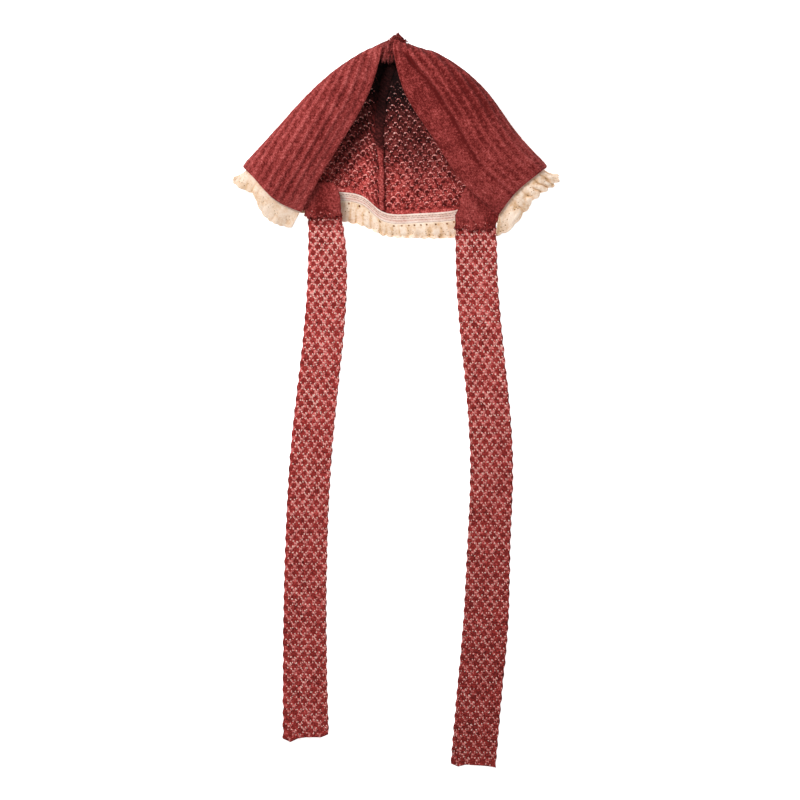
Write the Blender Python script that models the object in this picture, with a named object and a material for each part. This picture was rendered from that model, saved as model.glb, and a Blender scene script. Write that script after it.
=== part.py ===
"""A knitted baby bonnet, lying on its back with its ties spread out flat.

Two ribbed knit halves are gathered to a knot at the top and joined down the centre back. They
wrap round the sides and end at the two edges of the face opening. A gathered lace with a taped
heading is sewn inside the neck hem, and a tab at each front corner holds a long flat tie.

The hood is laid out from its gather: +X to the right, +Y away from the neck, +Z up from the
surface that it lies on. The last step moves everything so that the origin is under its middle.
"""

import math
from collections import namedtuple

import bmesh
import bpy
import numpy as np
from mathutils import Vector

# Sizes in metres
CROWN_WIDTH = 0.219  # between the outer corners of the folded hem
CROWN_LENGTH = 0.124  # from the gather down to the back hem
CROWN_HEIGHT = 0.032  # of the side folds at the hem
FOLD_DEPTH = 0.012  # how far in from the outer edge a side fold takes to turn
KNIT = 0.0026  # wall of the knit between its ribs
RIB_PITCH = 0.0063
RIB_HEIGHT = 0.0011
PLAIN_HEM = 0.006  # the knit without ribs along the hem
EDGE_STRIP = 0.0050  # plain strip along the left edge of the face opening
PLAIN_BAND = 0.0173  # plain band along the right edge, as far as the long dent
DENT_DEPTH = 0.0032
DENT_WIDTH = 0.0034
GATHER_WIDTH = 0.022
GATHER_HEIGHT = 0.016
GATHER_RISE = 0.0116  # middle of the gather above the surface
GATHER_PLANE = 0.0056  # from the origin up to the gathered edge
GATHER_LIP = 0.0015  # how far the gathered edge stands out and turns in
KNOT_DEPTH = 0.017  # of the bunched knit inside the gather
KNOT_PLEAT = 0.0005
TUFT_HEIGHT = 0.0050
SEAM_WIDTH = 0.0075
SEAM_HEIGHT = 0.0024
SEAM_START = 0.22  # share of the way down where the seam ridge starts to show
HEADING_HEIGHT = 0.0065
HEADING_WALL = 0.0010
LACE_DEPTH = 0.017
LACE_WALL = 0.0010
LACE_WAVE = 0.0026  # how far the waves of the frill stand up at its edge
WAVE_LENGTH = 0.017
EYELET_PITCH = 0.0102
EYELET_SIZE = 0.0014
EYELET_TOP = 0.0018  # from the top of the frill
TIE_WIDTH = 0.030
TIE_WALL = 0.0026
TIE_LENGTH_LEFT = 0.379
TIE_LENGTH_RIGHT = 0.398
TIE_INSET = 0.0162  # from the front corner of the hem to the middle of the tie
TIE_DROP = 0.056  # length over which a tie comes down from its tab to the surface
TAB_LENGTH = 0.028
TAB_WIDTH = 0.0282  # of the tab that shows inside the face edge
TAB_TUCK = 0.0045  # of the tab that is sewn under the face edge
TAB_WALL = 0.0030
TAB_REACH = 0.006  # how far the tab stands out below the front corner
TAB_LAP = 0.007  # how far a tab covers the top of its tie
GAP = 0.0003  # between pieces that touch

# Lines that run from the gather to the hem. hem_x is a share of half CROWN_WIDTH, hem_y of
# CROWN_LENGTH and hem_z of CROWN_HEIGHT. gather is the place on the gather's oval in degrees.
# The bows are the sideways bends at a quarter, a half and three quarters of the way, outwards,
# as shares of CROWN_LENGTH, and lift is the puff halfway, a share of CROWN_HEIGHT.
Line = namedtuple("Line", "hem_x hem_y hem_z gather bow_1 bow_2 bow_3 lift")
LEFT = {
    "edge": Line(-0.612, -0.947, 0.62, 155, -0.042, -0.039, -0.015, 0.20),
    "panel": Line(-0.800, -0.868, 0.93, 163, 0.010, 0.012, 0.005, 0.22),
    "side": Line(-1.000, -0.682, 1.00, 186, 0.067, 0.068, 0.028, 0.16),
    "back": Line(-0.440, -0.865, 0.00, 228, 0.020, 0.030, 0.012, 0.00),
    "dip": Line(-0.200, -0.905, 0.00, 252, 0.055, 0.065, 0.030, 0.00),
}
SEAM = Line(-0.100, -0.980, 0.00, -90, 0.065, 0.070, 0.030, 0.00)
RIGHT = {
    "edge": Line(0.678, -0.964, 0.62, 117, -0.077, -0.081, -0.079, 0.16),
    "panel": Line(0.835, -0.838, 0.93, 68, 0.006, 0.004, -0.020, 0.20),
    "side": Line(1.000, -0.680, 1.00, -6, 0.096, 0.092, 0.038, 0.16),
    "back": Line(0.460, -0.970, 0.00, -58, 0.000, 0.000, 0.000, 0.00),
    "middle": Line(0.130, -1.001, 0.00, -76, -0.020, -0.025, -0.010, 0.00),
}
GATHER_ACROSS = 0.020  # middle of the gather, a share of half CROWN_WIDTH
GATHER_TURN_IN = 0.36  # how much narrower the gathered edge is than the gather behind it
FOLD_TURNS = (90, 45, 0, -45, -90)  # degrees round a side fold, from the front to the back
RISE = 2.5  # how early the lines reach the height of the hem
ROWS = (0.0, 0.03, 0.09, 0.18, 0.31, 0.46, 0.63, 0.80)  # shares from the gather to the heading
SAMPLES = 16  # between two lines of a section
TUCK = 0.97  # how much narrower the ribs get where the gather takes them in
TUCK_RAMP = 0.08

# Stations along the neck hem, from the left face edge round the back to the right one: place as
# a share of the hem, depth of the frill as a share of LACE_DEPTH, lean along the hem and flare
# out of it as shares of that depth, drop of its edge as a share of LACE_DEPTH, and its waves as
# a share of LACE_WAVE
Frill = namedtuple("Frill", "along depth lean flare drop wave")
FRILL = (
    Frill(0.000, 0.80, 0.00, 0.00, 0.10, 0.3),
    Frill(0.030, 0.89, -0.07, 0.00, 0.22, 0.4),
    Frill(0.060, 0.86, -0.28, 0.00, 0.30, 0.4),
    Frill(0.085, 0.68, -0.22, 0.00, 0.26, 0.3),
    Frill(0.105, 0.50, -0.18, 0.00, 0.20, 0.3),
    Frill(0.125, 0.70, 0.00, 0.00, 0.30, 0.4),
    Frill(0.145, 0.76, 0.30, 0.05, 0.35, 0.5),
    Frill(0.172, 0.56, 0.00, 0.28, 0.10, 0.5),
    Frill(0.231, 0.66, 0.00, 0.10, 0.20, 0.8),
    Frill(0.380, 0.84, 0.00, 0.00, 0.25, 1.0),
    Frill(0.430, 0.86, 0.00, 0.00, 0.25, 1.0),
    Frill(0.470, 0.64, 0.00, 0.00, 0.25, 1.0),
    Frill(0.550, 0.66, 0.00, 0.00, 0.25, 1.0),
    Frill(0.637, 0.76, 0.00, 0.00, 0.25, 1.0),
    Frill(0.782, 0.66, 0.00, 0.10, 0.20, 0.8),
    Frill(0.842, 0.58, 0.00, 0.42, 0.05, 0.8),
    Frill(0.860, 0.66, -0.20, 0.30, 0.20, 1.0),
    Frill(0.880, 0.78, -0.30, 0.15, 0.30, 1.0),
    Frill(0.905, 0.77, -0.29, 0.00, 0.30, 1.0),
    Frill(0.935, 0.78, 0.05, 0.00, 0.30, 1.0),
    Frill(0.970, 0.85, 0.42, 0.00, 0.28, 0.9),
    Frill(1.000, 0.62, 0.80, 0.00, 0.15, 0.6),
)
WAVE_DRIFT = 0.31  # how the waves drift out of step along the hem

# Stations of a tie from its top: place along it, sideways sway and width as shares of TIE_WIDTH
Station = namedtuple("Station", "along sway width")
TIE_STATIONS = {
    "left": (
        Station(0.00, 0.000, 0.78),
        Station(0.05, 0.050, 0.88),
        Station(0.16, 0.043, 0.96),
        Station(0.33, -0.160, 0.985),
        Station(0.45, -0.317, 1.00),
        Station(0.60, -0.427, 1.01),
        Station(0.80, -0.477, 1.04),
        Station(1.00, -0.453, 1.10),
    ),
    "right": (
        Station(0.00, 0.000, 0.98),
        Station(0.14, 0.053, 1.00),
        Station(0.31, 0.267, 1.015),
        Station(0.46, 0.385, 1.025),
        Station(0.61, 0.313, 1.04),
        Station(0.72, 0.260, 1.08),
        Station(0.87, 0.090, 1.09),
        Station(1.00, -0.057, 1.08),
    ),
}
TIE_ROWS = 17

# Rows of a tab from its upper end: place as a share of its length, how much of TAB_TUCK goes
# under the face edge, and how much of TAB_WIDTH shows
Flap = namedtuple("Flap", "along under shown")
FLAPS = (
    Flap(0.00, 0.5, 0.82),
    Flap(0.20, 1.0, 0.92),
    Flap(0.55, 1.0, 0.99),
    Flap(0.76, 0.8, 1.00),
    Flap(0.86, -0.2, 1.00),
    Flap(1.00, -0.4, 0.97),
)
TAB_SLOPE = 0.10
TAB_CREASE = 0.0011
TAB_ROUND = 0.0009

# Rings of the knot from inside the hood out to the tuft: place as a share of KNOT_DEPTH (below
# 0) or of TUFT_HEIGHT (above 0), and size as shares of the gather's oval
Ring = namedtuple("Ring", "place across up")
KNOT_RINGS = (
    Ring(-1.00, 0.14, 0.14),
    Ring(-0.93, 0.50, 0.44),
    Ring(-0.60, 0.66, 0.56),
    Ring(-0.28, 0.56, 0.46),
    Ring(0.00, 0.30, 0.17),
    Ring(0.22, 0.40, 0.40),
    Ring(0.50, 0.41, 0.42),
    Ring(0.72, 0.26, 0.26),
)
KNOT_SIDES = 18
# Yarn ends of the tuft: the tip's reach as shares of TUFT_HEIGHT, and thickness
Lock = namedtuple("Lock", "across along up thick")
LOCKS = (
    Lock(0.04, 1.00, 0.10, 0.36),
    Lock(-0.78, 0.42, 0.15, 0.30),
    Lock(1.30, 0.22, 0.05, 0.26),
)
LOCK_ROOT = 0.45  # where the yarn ends start, a share of TUFT_HEIGHT

RED = (0.36, 0.065, 0.07, 1.0)
DARK_RED = (0.26, 0.04, 0.045, 1.0)
CREAM = (0.88, 0.76, 0.58, 1.0)
PALE = (0.90, 0.78, 0.68, 1.0)


def natural_spline(knots, values, at):
    """Smooth curve through the values at the knots."""
    knots = np.asarray(knots, float)
    values = np.asarray(values, float)
    count = len(knots)
    step = np.diff(knots)
    slope = np.diff(values, axis=0) / step[:, None]
    matrix = np.zeros((count, count))
    right = np.zeros_like(values)
    matrix[0, 0] = matrix[-1, -1] = 1.0
    for i in range(1, count - 1):
        matrix[i, i - 1 : i + 2] = step[i - 1], 2 * (step[i - 1] + step[i]), step[i]
        right[i] = 3 * (slope[i] - slope[i - 1])
    second = np.linalg.solve(matrix, right)
    first = slope - step[:, None] * (2 * second[:-1] + second[1:]) / 3
    third = np.diff(second, axis=0) / (3 * step[:, None])
    span = np.clip(np.searchsorted(knots, at, side="right") - 1, 0, count - 2)
    along = (np.asarray(at) - knots[span])[:, None]
    return values[span] + along * (first[span] + along * (second[span] + along * third[span]))


def eased(x):
    """0 to 1 with flat ends."""
    x = np.clip(x, 0.0, 1.0)
    return x * x * (3 - 2 * x)


def unit(vectors):
    return vectors / np.linalg.norm(vectors, axis=-1, keepdims=True)


def lengths_along(points):
    """Distance of each point from the first one, along the points."""
    return np.concatenate([[0], np.cumsum(np.linalg.norm(np.diff(points, axis=0), axis=1))])


def closed_wall(name, front, rear, holes=()):
    """A mesh between two grids of the same rows and columns; holes are cells cut through it."""
    rows, columns = front.shape[:2]
    mesh = bmesh.new()
    sides = [[[mesh.verts.new(point) for point in row] for row in grid] for grid in (front, rear)]
    solid = {(r, c) for r in range(rows - 1) for c in range(columns - 1)} - set(holes)
    for r, c in sorted(solid):
        ring = [(r, c), (r + 1, c), (r + 1, c + 1), (r, c + 1)]
        mesh.faces.new([sides[0][a][b] for a, b in ring])
        mesh.faces.new([sides[1][a][b] for a, b in reversed(ring)])
        beside = [(r, c - 1), (r + 1, c), (r, c + 1), (r - 1, c)]
        for i, cell in enumerate(beside):
            if cell in solid:
                continue
            (a, b), (d, e) = ring[i], ring[(i + 1) % 4]
            mesh.faces.new([sides[0][d][e], sides[0][a][b], sides[1][a][b], sides[1][d][e]])
    return finished(name, mesh)


def finished(name, mesh):
    """Mesh data with its faces pointing outwards."""
    bmesh.ops.recalc_face_normals(mesh, faces=mesh.faces)
    data = bpy.data.meshes.new(name)
    mesh.to_mesh(data)
    mesh.free()
    return data


def material(name, colour, roughness=0.9):
    made = bpy.data.materials.new(name)
    made.use_nodes = True
    surface = made.node_tree.nodes["Principled BSDF"]
    surface.inputs["Base Color"].default_value = colour
    surface.inputs["Roughness"].default_value = roughness
    surface.inputs["Metallic"].default_value = 0.0
    made.diffuse_color = colour
    return made


class Hood:
    """The shape of the knit: a section from the left face edge to the right one at any row."""

    def __init__(self):
        self.half = CROWN_WIDTH / 2
        self.middle = np.array([GATHER_ACROSS * self.half, GATHER_PLANE, GATHER_RISE])
        left = self.section_lines(LEFT, -1)
        right = self.section_lines(RIGHT, 1)
        self.seam_index = len(left) * SAMPLES
        self.lines = left + [self.line(SEAM, -1)] + right[::-1]
        self.heading_top = 1 - HEADING_HEIGHT / (CROWN_LENGTH + GATHER_PLANE)
        self.rows = [row * self.heading_top / 0.95 for row in ROWS] + [self.heading_top, 1.0]

    def line(self, row, side):
        hem = np.array([row.hem_x * self.half, row.hem_y * CROWN_LENGTH, row.hem_z * CROWN_HEIGHT])
        bows = [0.0, row.bow_1, row.bow_2, row.bow_3, 0.0]
        return {"hem": hem, "gather": row.gather, "side": side, "bows": bows, "lift": row.lift}

    def section_lines(self, rows, side):
        """The lines of one side, with five worked out for its round fold."""
        edge, panel, outer, *backs = (self.line(row, side) for row in rows.values())
        lines = [edge, panel]
        for degrees in FOLD_TURNS:
            towards, share = (panel, 0.55) if degrees > 0 else (backs[0], 0.45)
            turn = math.radians(degrees)
            inwards = unit((towards["hem"] - outer["hem"])[:2])
            hem = outer["hem"].copy()
            hem[:2] += inwards * FOLD_DEPTH * (1 - math.cos(turn))
            hem[2] *= (1 + math.sin(turn)) / 2
            fold = dict(outer, hem=hem, lift=outer["lift"] * (1 + math.sin(turn)) / 2)
            part = abs(degrees) / 90 * share
            fold["gather"] = outer["gather"] + (towards["gather"] - outer["gather"]) * part
            lines.append(fold)
        return lines + backs

    def point(self, line, row):
        """Where a line is at a row, 0 at the gather and 1 at the hem."""
        turn = math.radians(line["gather"])
        closing = 1 - eased(row / ROWS[1])
        oval = np.array([math.cos(turn) * GATHER_WIDTH / 2, 0.0, math.sin(turn) * GATHER_HEIGHT / 2])
        start = self.middle + oval * (1 - GATHER_TURN_IN * closing)
        start[1] += GATHER_LIP * closing
        across = (line["hem"] - start)[:2]
        outwards = unit(np.array([-across[1], across[0]]))
        outwards *= line["side"] * math.copysign(1, outwards[0])
        quarters = np.linspace(0, 1, 5)
        bow = natural_spline(quarters, np.array(line["bows"])[:, None], np.array([row]))[0, 0]
        rise = 1 - max(0.0, 1 - row) ** RISE
        spot = np.empty(3)
        spot[:2] = start[:2] + across * row + outwards * bow * CROWN_LENGTH
        puff = line["lift"] * CROWN_HEIGHT * 4 * row * (1 - row)
        spot[2] = start[2] + (line["hem"][2] + RIB_HEIGHT - start[2]) * rise + puff
        return spot

    def section(self, row):
        """Dense points of the knit's face at a row, from the left face edge to the right."""
        points = np.array([self.point(line, row) for line in self.lines])
        knots = lengths_along(points)
        share = np.arange(SAMPLES * (len(points) - 1) + 1) / SAMPLES
        dense = natural_spline(knots, points, np.interp(share, np.arange(len(points)), knots))
        dense[:, 2] = np.maximum(dense[:, 2], RIB_HEIGHT)
        return dense

    def surface(self, row):
        """Points, outward normals, downward directions and lengths along the section."""
        near = 0.004
        here = self.section(row)
        down = unit(self.section(row + near) - self.section(max(row - near, 0.0)))
        normal = unit(np.cross(np.gradient(here, axis=0), down))
        return here, normal, down, lengths_along(here)

    def across(self, row, side, places):
        """Points, normals and directions at distances from that side's face edge."""
        *read, length = self.surface(row)
        at = places if side == "left" else length[-1] - places
        points, normal, down = (np.column_stack([np.interp(at, length, v) for v in a.T]) for a in read)
        return points, unit(normal), unit(down)

    def half_length(self, row, side):
        """From that side's face edge to the centre back seam."""
        length = self.surface(row)[3]
        seam = length[self.seam_index]
        return (seam if side == "left" else length[-1] - seam) - GAP / 2

    def front_length(self, row, side):
        """From that side's face edge to the outermost line of its fold."""
        length = self.surface(row)[3]
        fold = (2 + FOLD_TURNS.index(0)) * SAMPLES
        return length[fold] if side == "left" else length[-1] - length[-1 - fold]

    def shown_back(self, row, side):
        """How much of the back shows between the seam and that side's face edge."""
        here = self.section(row)
        edge = here[0] if side == "left" else here[-1]
        return max(0.0, abs(edge[0] - here[self.seam_index][0]))


def rib_columns(hood, side):
    """Places of the columns at the hem, from the face edge to the seam, and each one's relief."""
    length = hood.half_length(1.0, side)
    if side == "left":
        places, relief = [0.0, EDGE_STRIP * 0.5, EDGE_STRIP], [0.35, 0.7, 0.0]
    else:
        band = np.array([0.0, 0.2, 0.55, 0.85, 1.0])
        places, relief = list(band * PLAIN_BAND), [0.35, 0.7, 0.75, 0.6, 0.0]
    start = places[-1]
    count = 2 * max(2, round((length - start) / RIB_PITCH))
    for i in range(1, count + 1):
        places.append(start + (length - start) * i / count)
        relief.append(float(i % 2))
    return np.array(places), np.array(relief)


def tucked(hood, side, row, places):
    """The columns at a row, of which those out of sight are drawn together, and how narrow."""
    steps = np.diff(places)
    middle = (places[:-1] + places[1:]) / 2
    ramp = TUCK_RAMP * places[-1]
    past_front = eased((middle - hood.front_length(row, side)) / ramp)
    before_back = eased((places[-1] - hood.shown_back(row, side) - middle) / ramp)
    hidden = TUCK * past_front * before_back
    length = hood.half_length(row, side)
    spare = (places[-1] - length) / np.sum(steps * hidden)
    narrowed = steps * (1 - hidden * np.clip(spare, 0, 1))
    narrowed *= length / np.sum(narrowed)
    ratio = narrowed / steps
    ease = np.minimum(np.append(ratio, ratio[-1]), np.append(ratio[0], ratio))
    return np.concatenate([[0], np.cumsum(narrowed)]), np.minimum(ease, 1.0)


def dented(side, places, row):
    """Depth of the long dent beside the right band."""
    if side == "left":
        return np.zeros_like(places)
    away = (places - PLAIN_BAND * (0.62 + 0.38 * eased(row / 0.25))) / DENT_WIDTH
    fading = (1 - 0.80 * eased((row - 0.35) / 0.6)) * eased(row / 0.05)
    return DENT_DEPTH * np.exp(-away * away) * fading


def knit_row(hood, side, row, places):
    """Points and normals of a half's columns at a row, and how much the ribs are narrowed."""
    at, ease = tucked(hood, side, row, places)
    points, normals, _ = hood.across(row, side, at)
    points = points - normals * dented(side, at, row)[:, None]
    points[:, 2] = np.maximum(points[:, 2], RIB_HEIGHT)
    return points, normals, ease


def crown_half(hood, side):
    """One knit half: ribbed outside, smooth inside."""
    places, relief = rib_columns(hood, side)
    outer, inner = [], []
    for row in hood.rows:
        points, normals, ease = knit_row(hood, side, row, places)
        plain = eased((1 - row) * CROWN_LENGTH / PLAIN_HEM)
        ribbed = relief * ease * eased(row / 0.12) * (0.35 + 0.65 * plain)
        outside = points + normals * (RIB_HEIGHT * ribbed)[:, None]
        outside[:, 2] = np.maximum(outside[:, 2], 0.0)
        outer.append(outside)
        inner.append(points - normals * KNIT)
    return closed_wall(f"crown_{side}", np.array(outer), np.array(inner))


def lace_heading(hood):
    """The taped heading, flat against the inside of the hem, on the same columns as the knit."""
    outer, inner = [], []
    for row in (hood.heading_top, 1.0):
        halves = [knit_row(hood, side, row, rib_columns(hood, side)[0])[:2] for side in ("left", "right")]
        points, normals = (np.concatenate([left, right[-2::-1]]) for left, right in zip(*halves))
        outer.append(points - normals * (KNIT + GAP))
        inner.append(points - normals * (KNIT + GAP + HEADING_WALL))
    return closed_wall("lace_heading", np.array(outer), np.array(inner))


def lace_frill(hood):
    """The gathered frill below the heading, with a row of eyelets cut through it."""
    length = hood.surface(1.0)[3][-1]
    count = max(4, round(length / EYELET_PITCH))
    pitch = length / count
    side = (pitch - EYELET_SIZE) / 2
    offsets = np.array([side, side + EYELET_SIZE, pitch - side / 2, pitch])
    places = np.concatenate([[0.0]] + [i * pitch + offsets for i in range(count)])
    points, normals, down = hood.across(1.0, "left", places)
    along = unit(np.gradient(points, axis=0))
    table = natural_spline([spot.along for spot in FRILL], [spot[1:] for spot in FRILL], places / length)
    depth, lean, flare, drop, wave = table.T
    phase = 2 * math.pi * places / WAVE_LENGTH
    wave = LACE_WAVE * wave * (1 + np.cos(phase + 1.3 * np.sin(phase * WAVE_DRIFT))) / 2
    start = points - normals * (KNIT + GAP + HEADING_WALL / 2) + down * 2 * GAP
    fall = down + along * lean[:, None]
    below_eyelet = EYELET_TOP + EYELET_SIZE
    middle = []
    for reach in (0.0, EYELET_TOP, below_eyelet, depth * LACE_DEPTH * 0.55, depth * LACE_DEPTH):
        reach = np.broadcast_to(reach, places.shape)
        part = reach / (depth * LACE_DEPTH)
        lift = wave * part ** 1.2
        out = lift * 0.4 + flare * reach * part
        spots = start + fall * reach[:, None] + normals * out[:, None]
        spots[:, 2] += lift * 0.8 - drop * LACE_DEPTH * part ** 2
        spots[:, 2] = np.maximum(spots[:, 2], LACE_WALL / 2 + lift * 0.8)
        middle.append(spots)
    middle = np.array(middle)
    face = unit(np.cross(np.gradient(middle, axis=1), np.gradient(middle, axis=0)))
    front, rear = middle + face * LACE_WALL / 2, middle - face * LACE_WALL / 2
    front[..., 2] = np.maximum(front[..., 2], 0.0)
    rear[..., 2] = np.maximum(rear[..., 2], 0.0)
    holes = [(1, 4 * i + 1) for i in range(count)]
    return closed_wall("lace_frill", front, rear, holes)


def back_seam(hood):
    """The turned-in seam ridge inside the centre back, down to the heading."""
    rows = np.linspace(SEAM_START, hood.heading_top - 2 * GAP / CROWN_LENGTH, 8)
    profile = np.linspace(0, math.pi, 7)
    ridge, base = [], []
    for row in rows:
        here = hood.half_length(row, "left") + GAP / 2
        points, normals, _ = hood.across(row, "left", here + SEAM_WIDTH / 2 * -np.cos(profile))
        flat = points - normals * (KNIT + GAP)
        base.append(flat)
        height = 0.25 + 0.75 * eased((row - rows[0]) / 0.05)
        rounded = height * (0.25 + 0.75 * np.sin(profile))
        ridge.append(flat - normals * (SEAM_HEIGHT * rounded)[:, None])
    return closed_wall("back_seam", np.array(ridge), np.array(base))


def front_corner(hood, side):
    """The front corner of the hem on the inside of the lace heading."""
    points, normals, _ = hood.across(1.0, side, np.array([0.0]))
    return points[0, :2], (points - normals * (KNIT + GAP + HEADING_WALL))[0, 2]


def tab_top(hood, side, y):
    """Height of a tab's top face: it touches the heading at the front corner."""
    corner, under = front_corner(hood, side)
    return under - GAP + TAB_SLOPE * (y - corner[1])


def tie_tab(hood, side):
    """The folded tab under the front corner, with a crease down it."""
    corner, _ = front_corner(hood, side)
    inwards = 1 if side == "left" else -1
    share = np.linspace(0, 1, 7)
    crease = TAB_CREASE * np.exp(-(((share - 0.55) / 0.14) ** 2))
    rounding = TAB_ROUND * (2 * share - 1) ** 4
    top, bottom = [], []
    for row in FLAPS:
        y = np.full(len(share), corner[1] - TAB_REACH + TAB_LENGTH * (1 - row.along))
        first, last = -row.under * TAB_TUCK, row.shown * TAB_WIDTH
        x = corner[0] + inwards * (first + (last - first) * share)
        z = tab_top(hood, side, y)
        top.append(np.column_stack([x, y, z - crease - rounding]))
        bottom.append(np.column_stack([x, y, z - TAB_WALL]))
    return closed_wall(f"tie_tab_{side}", np.array(top), np.array(bottom))


def tie(hood, side):
    """A long flat tie: under its tab at the top, then down to the surface and along it."""
    corner, _ = front_corner(hood, side)
    inwards = 1 if side == "left" else -1
    start = corner[1] - TAB_REACH + TAB_LAP
    length = TIE_LENGTH_LEFT if side == "left" else TIE_LENGTH_RIGHT
    shares = (np.arange(TIE_ROWS) / (TIE_ROWS - 1)) ** 1.15
    along = np.concatenate([[0.0], TAB_LAP + (length - TAB_LAP) * shares])
    stations = TIE_STATIONS[side]
    table = natural_spline([s.along for s in stations], [s[1:] for s in stations], along / length)
    under = tab_top(hood, side, start - np.minimum(along, TAB_LAP)) - TAB_WALL - GAP - TIE_WALL
    height = under * (1 - eased((along - TAB_LAP) / TIE_DROP))
    across = np.linspace(-1, 1, 5)
    top, bottom = [], []
    for place, (sway, width), z in zip(along, table * TIE_WIDTH, height):
        x = corner[0] + inwards * TIE_INSET + sway + across * width / 2
        y = np.full_like(x, start - place)
        bottom.append(np.column_stack([x, y, np.full_like(x, z)]))
        top.append(np.column_stack([x, y, z + TIE_WALL * (1 - 0.22 * across ** 4)]))
    return closed_wall(f"tie_{side}", np.array(top), np.array(bottom))


def gather_knot(hood):
    """The bunched knit in the gather, pleated all round."""
    mesh = bmesh.new()
    rings = []
    lip = hood.middle + np.array([0.0, GATHER_LIP, 0.0])
    for ring in KNOT_RINGS:
        along = ring.place * (KNOT_DEPTH if ring.place < 0 else TUFT_HEIGHT)
        verts = []
        for i in range(KNOT_SIDES):
            turn = 2 * math.pi * i / KNOT_SIDES
            pleat = KNOT_PLEAT * (1 if i % 2 else -1) * min(1, ring.across * 3)
            across = (GATHER_WIDTH / 2 * ring.across + pleat) * math.cos(turn)
            up = (GATHER_HEIGHT / 2 * ring.up + pleat) * math.sin(turn)
            verts.append(mesh.verts.new(lip + np.array([across, along, up])))
        rings.append(verts)
    for a, b in zip(rings, rings[1:]):
        for i in range(KNOT_SIDES):
            j = (i + 1) % KNOT_SIDES
            mesh.faces.new([a[i], a[j], b[j], b[i]])
    mesh.faces.new(rings[0])
    mesh.faces.new(rings[-1])
    return finished("gather_knot", mesh)


def yarn_end(hood, lock, name):
    """A tapered yarn end of the tuft, as an object that is joined to the knot."""
    root = hood.middle + np.array([lock.across * 0.3 * TUFT_HEIGHT, GATHER_LIP + LOCK_ROOT * TUFT_HEIGHT, 0])
    reach = np.array([lock.across * 0.7, lock.along - LOCK_ROOT, lock.up]) * TUFT_HEIGHT
    radius = TUFT_HEIGHT * lock.thick
    mesh = bmesh.new()
    bmesh.ops.create_cone(
        mesh,
        cap_ends=True,
        segments=8,
        radius1=radius,
        radius2=radius * 0.25,
        depth=float(np.linalg.norm(reach)),
    )
    piece = bpy.data.objects.new(name, finished(name, mesh))
    piece.rotation_mode = "QUATERNION"
    piece.rotation_quaternion = Vector(reach).to_track_quat("Z", "Y")
    piece.location = root + reach / 2
    piece.hide_render = True
    piece.display_type = "WIRE"
    return piece


def new_collection(name):
    made = bpy.data.collections.new(name)
    bpy.context.scene.collection.children.link(made)
    return made


def main():
    for old in list(bpy.data.objects):
        bpy.data.objects.remove(old, do_unlink=True)
    bonnet = new_collection("baby_bonnet")
    helpers = new_collection("yarn_ends")
    middle = bpy.data.objects.new("bonnet_middle", None)
    bonnet.objects.link(middle)

    hood = Hood()
    knit = material("red_knit", RED)
    dark_knit = material("dark_red_knit", DARK_RED)
    lace = material("cream_lace", CREAM)
    tape = material("pale_tape", PALE)
    made = [
        (crown_half(hood, "left"), knit),
        (crown_half(hood, "right"), knit),
        (back_seam(hood), dark_knit),
        (lace_heading(hood), tape),
        (lace_frill(hood), lace),
        (tie_tab(hood, "left"), knit),
        (tie_tab(hood, "right"), knit),
        (tie(hood, "left"), knit),
        (tie(hood, "right"), knit),
        (gather_knot(hood), dark_knit),
    ]
    pieces = []
    for data, finish in made:
        data.materials.append(finish)
        data.shade_smooth()
        data.set_sharp_from_angle(angle=math.radians(50))
        piece = bpy.data.objects.new(data.name, data)
        piece.parent = middle
        bonnet.objects.link(piece)
        pieces.append(piece)
    for number, lock in enumerate(LOCKS):
        end = yarn_end(hood, lock, f"yarn_end_{number}")
        end.parent = middle
        helpers.objects.link(end)
        union = pieces[-1].modifiers.new(end.name, "BOOLEAN")
        union.operation = "UNION"
        union.solver = "EXACT"
        union.object = end

    bpy.context.view_layer.update()
    view = bpy.context.evaluated_depsgraph_get()
    corners = np.array([corner for piece in pieces for corner in piece.evaluated_get(view).bound_box])
    lowest, highest = corners.min(axis=0), corners.max(axis=0)
    middle.location = (-(lowest[0] + highest[0]) / 2, -(lowest[1] + highest[1]) / 2, -lowest[2])
    bpy.context.view_layer.update()


if __name__ == "__main__":
    main()
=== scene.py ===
"""The look of a knitted baby bonnet, laid out flat on its back.

The hood is ribbed red knit outside and a pale net round bobbles inside, gathered to a tufted
knot. The long ties show the netted side. A pierced cream lace hangs below a stitched tape inside
the neck hem.

The hood is laid out from its gather, as its solids are: +X to the right, +Y away from the neck
and +Z up. A last shift puts every piece where its solid lies.
"""

import math
from collections import namedtuple

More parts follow.
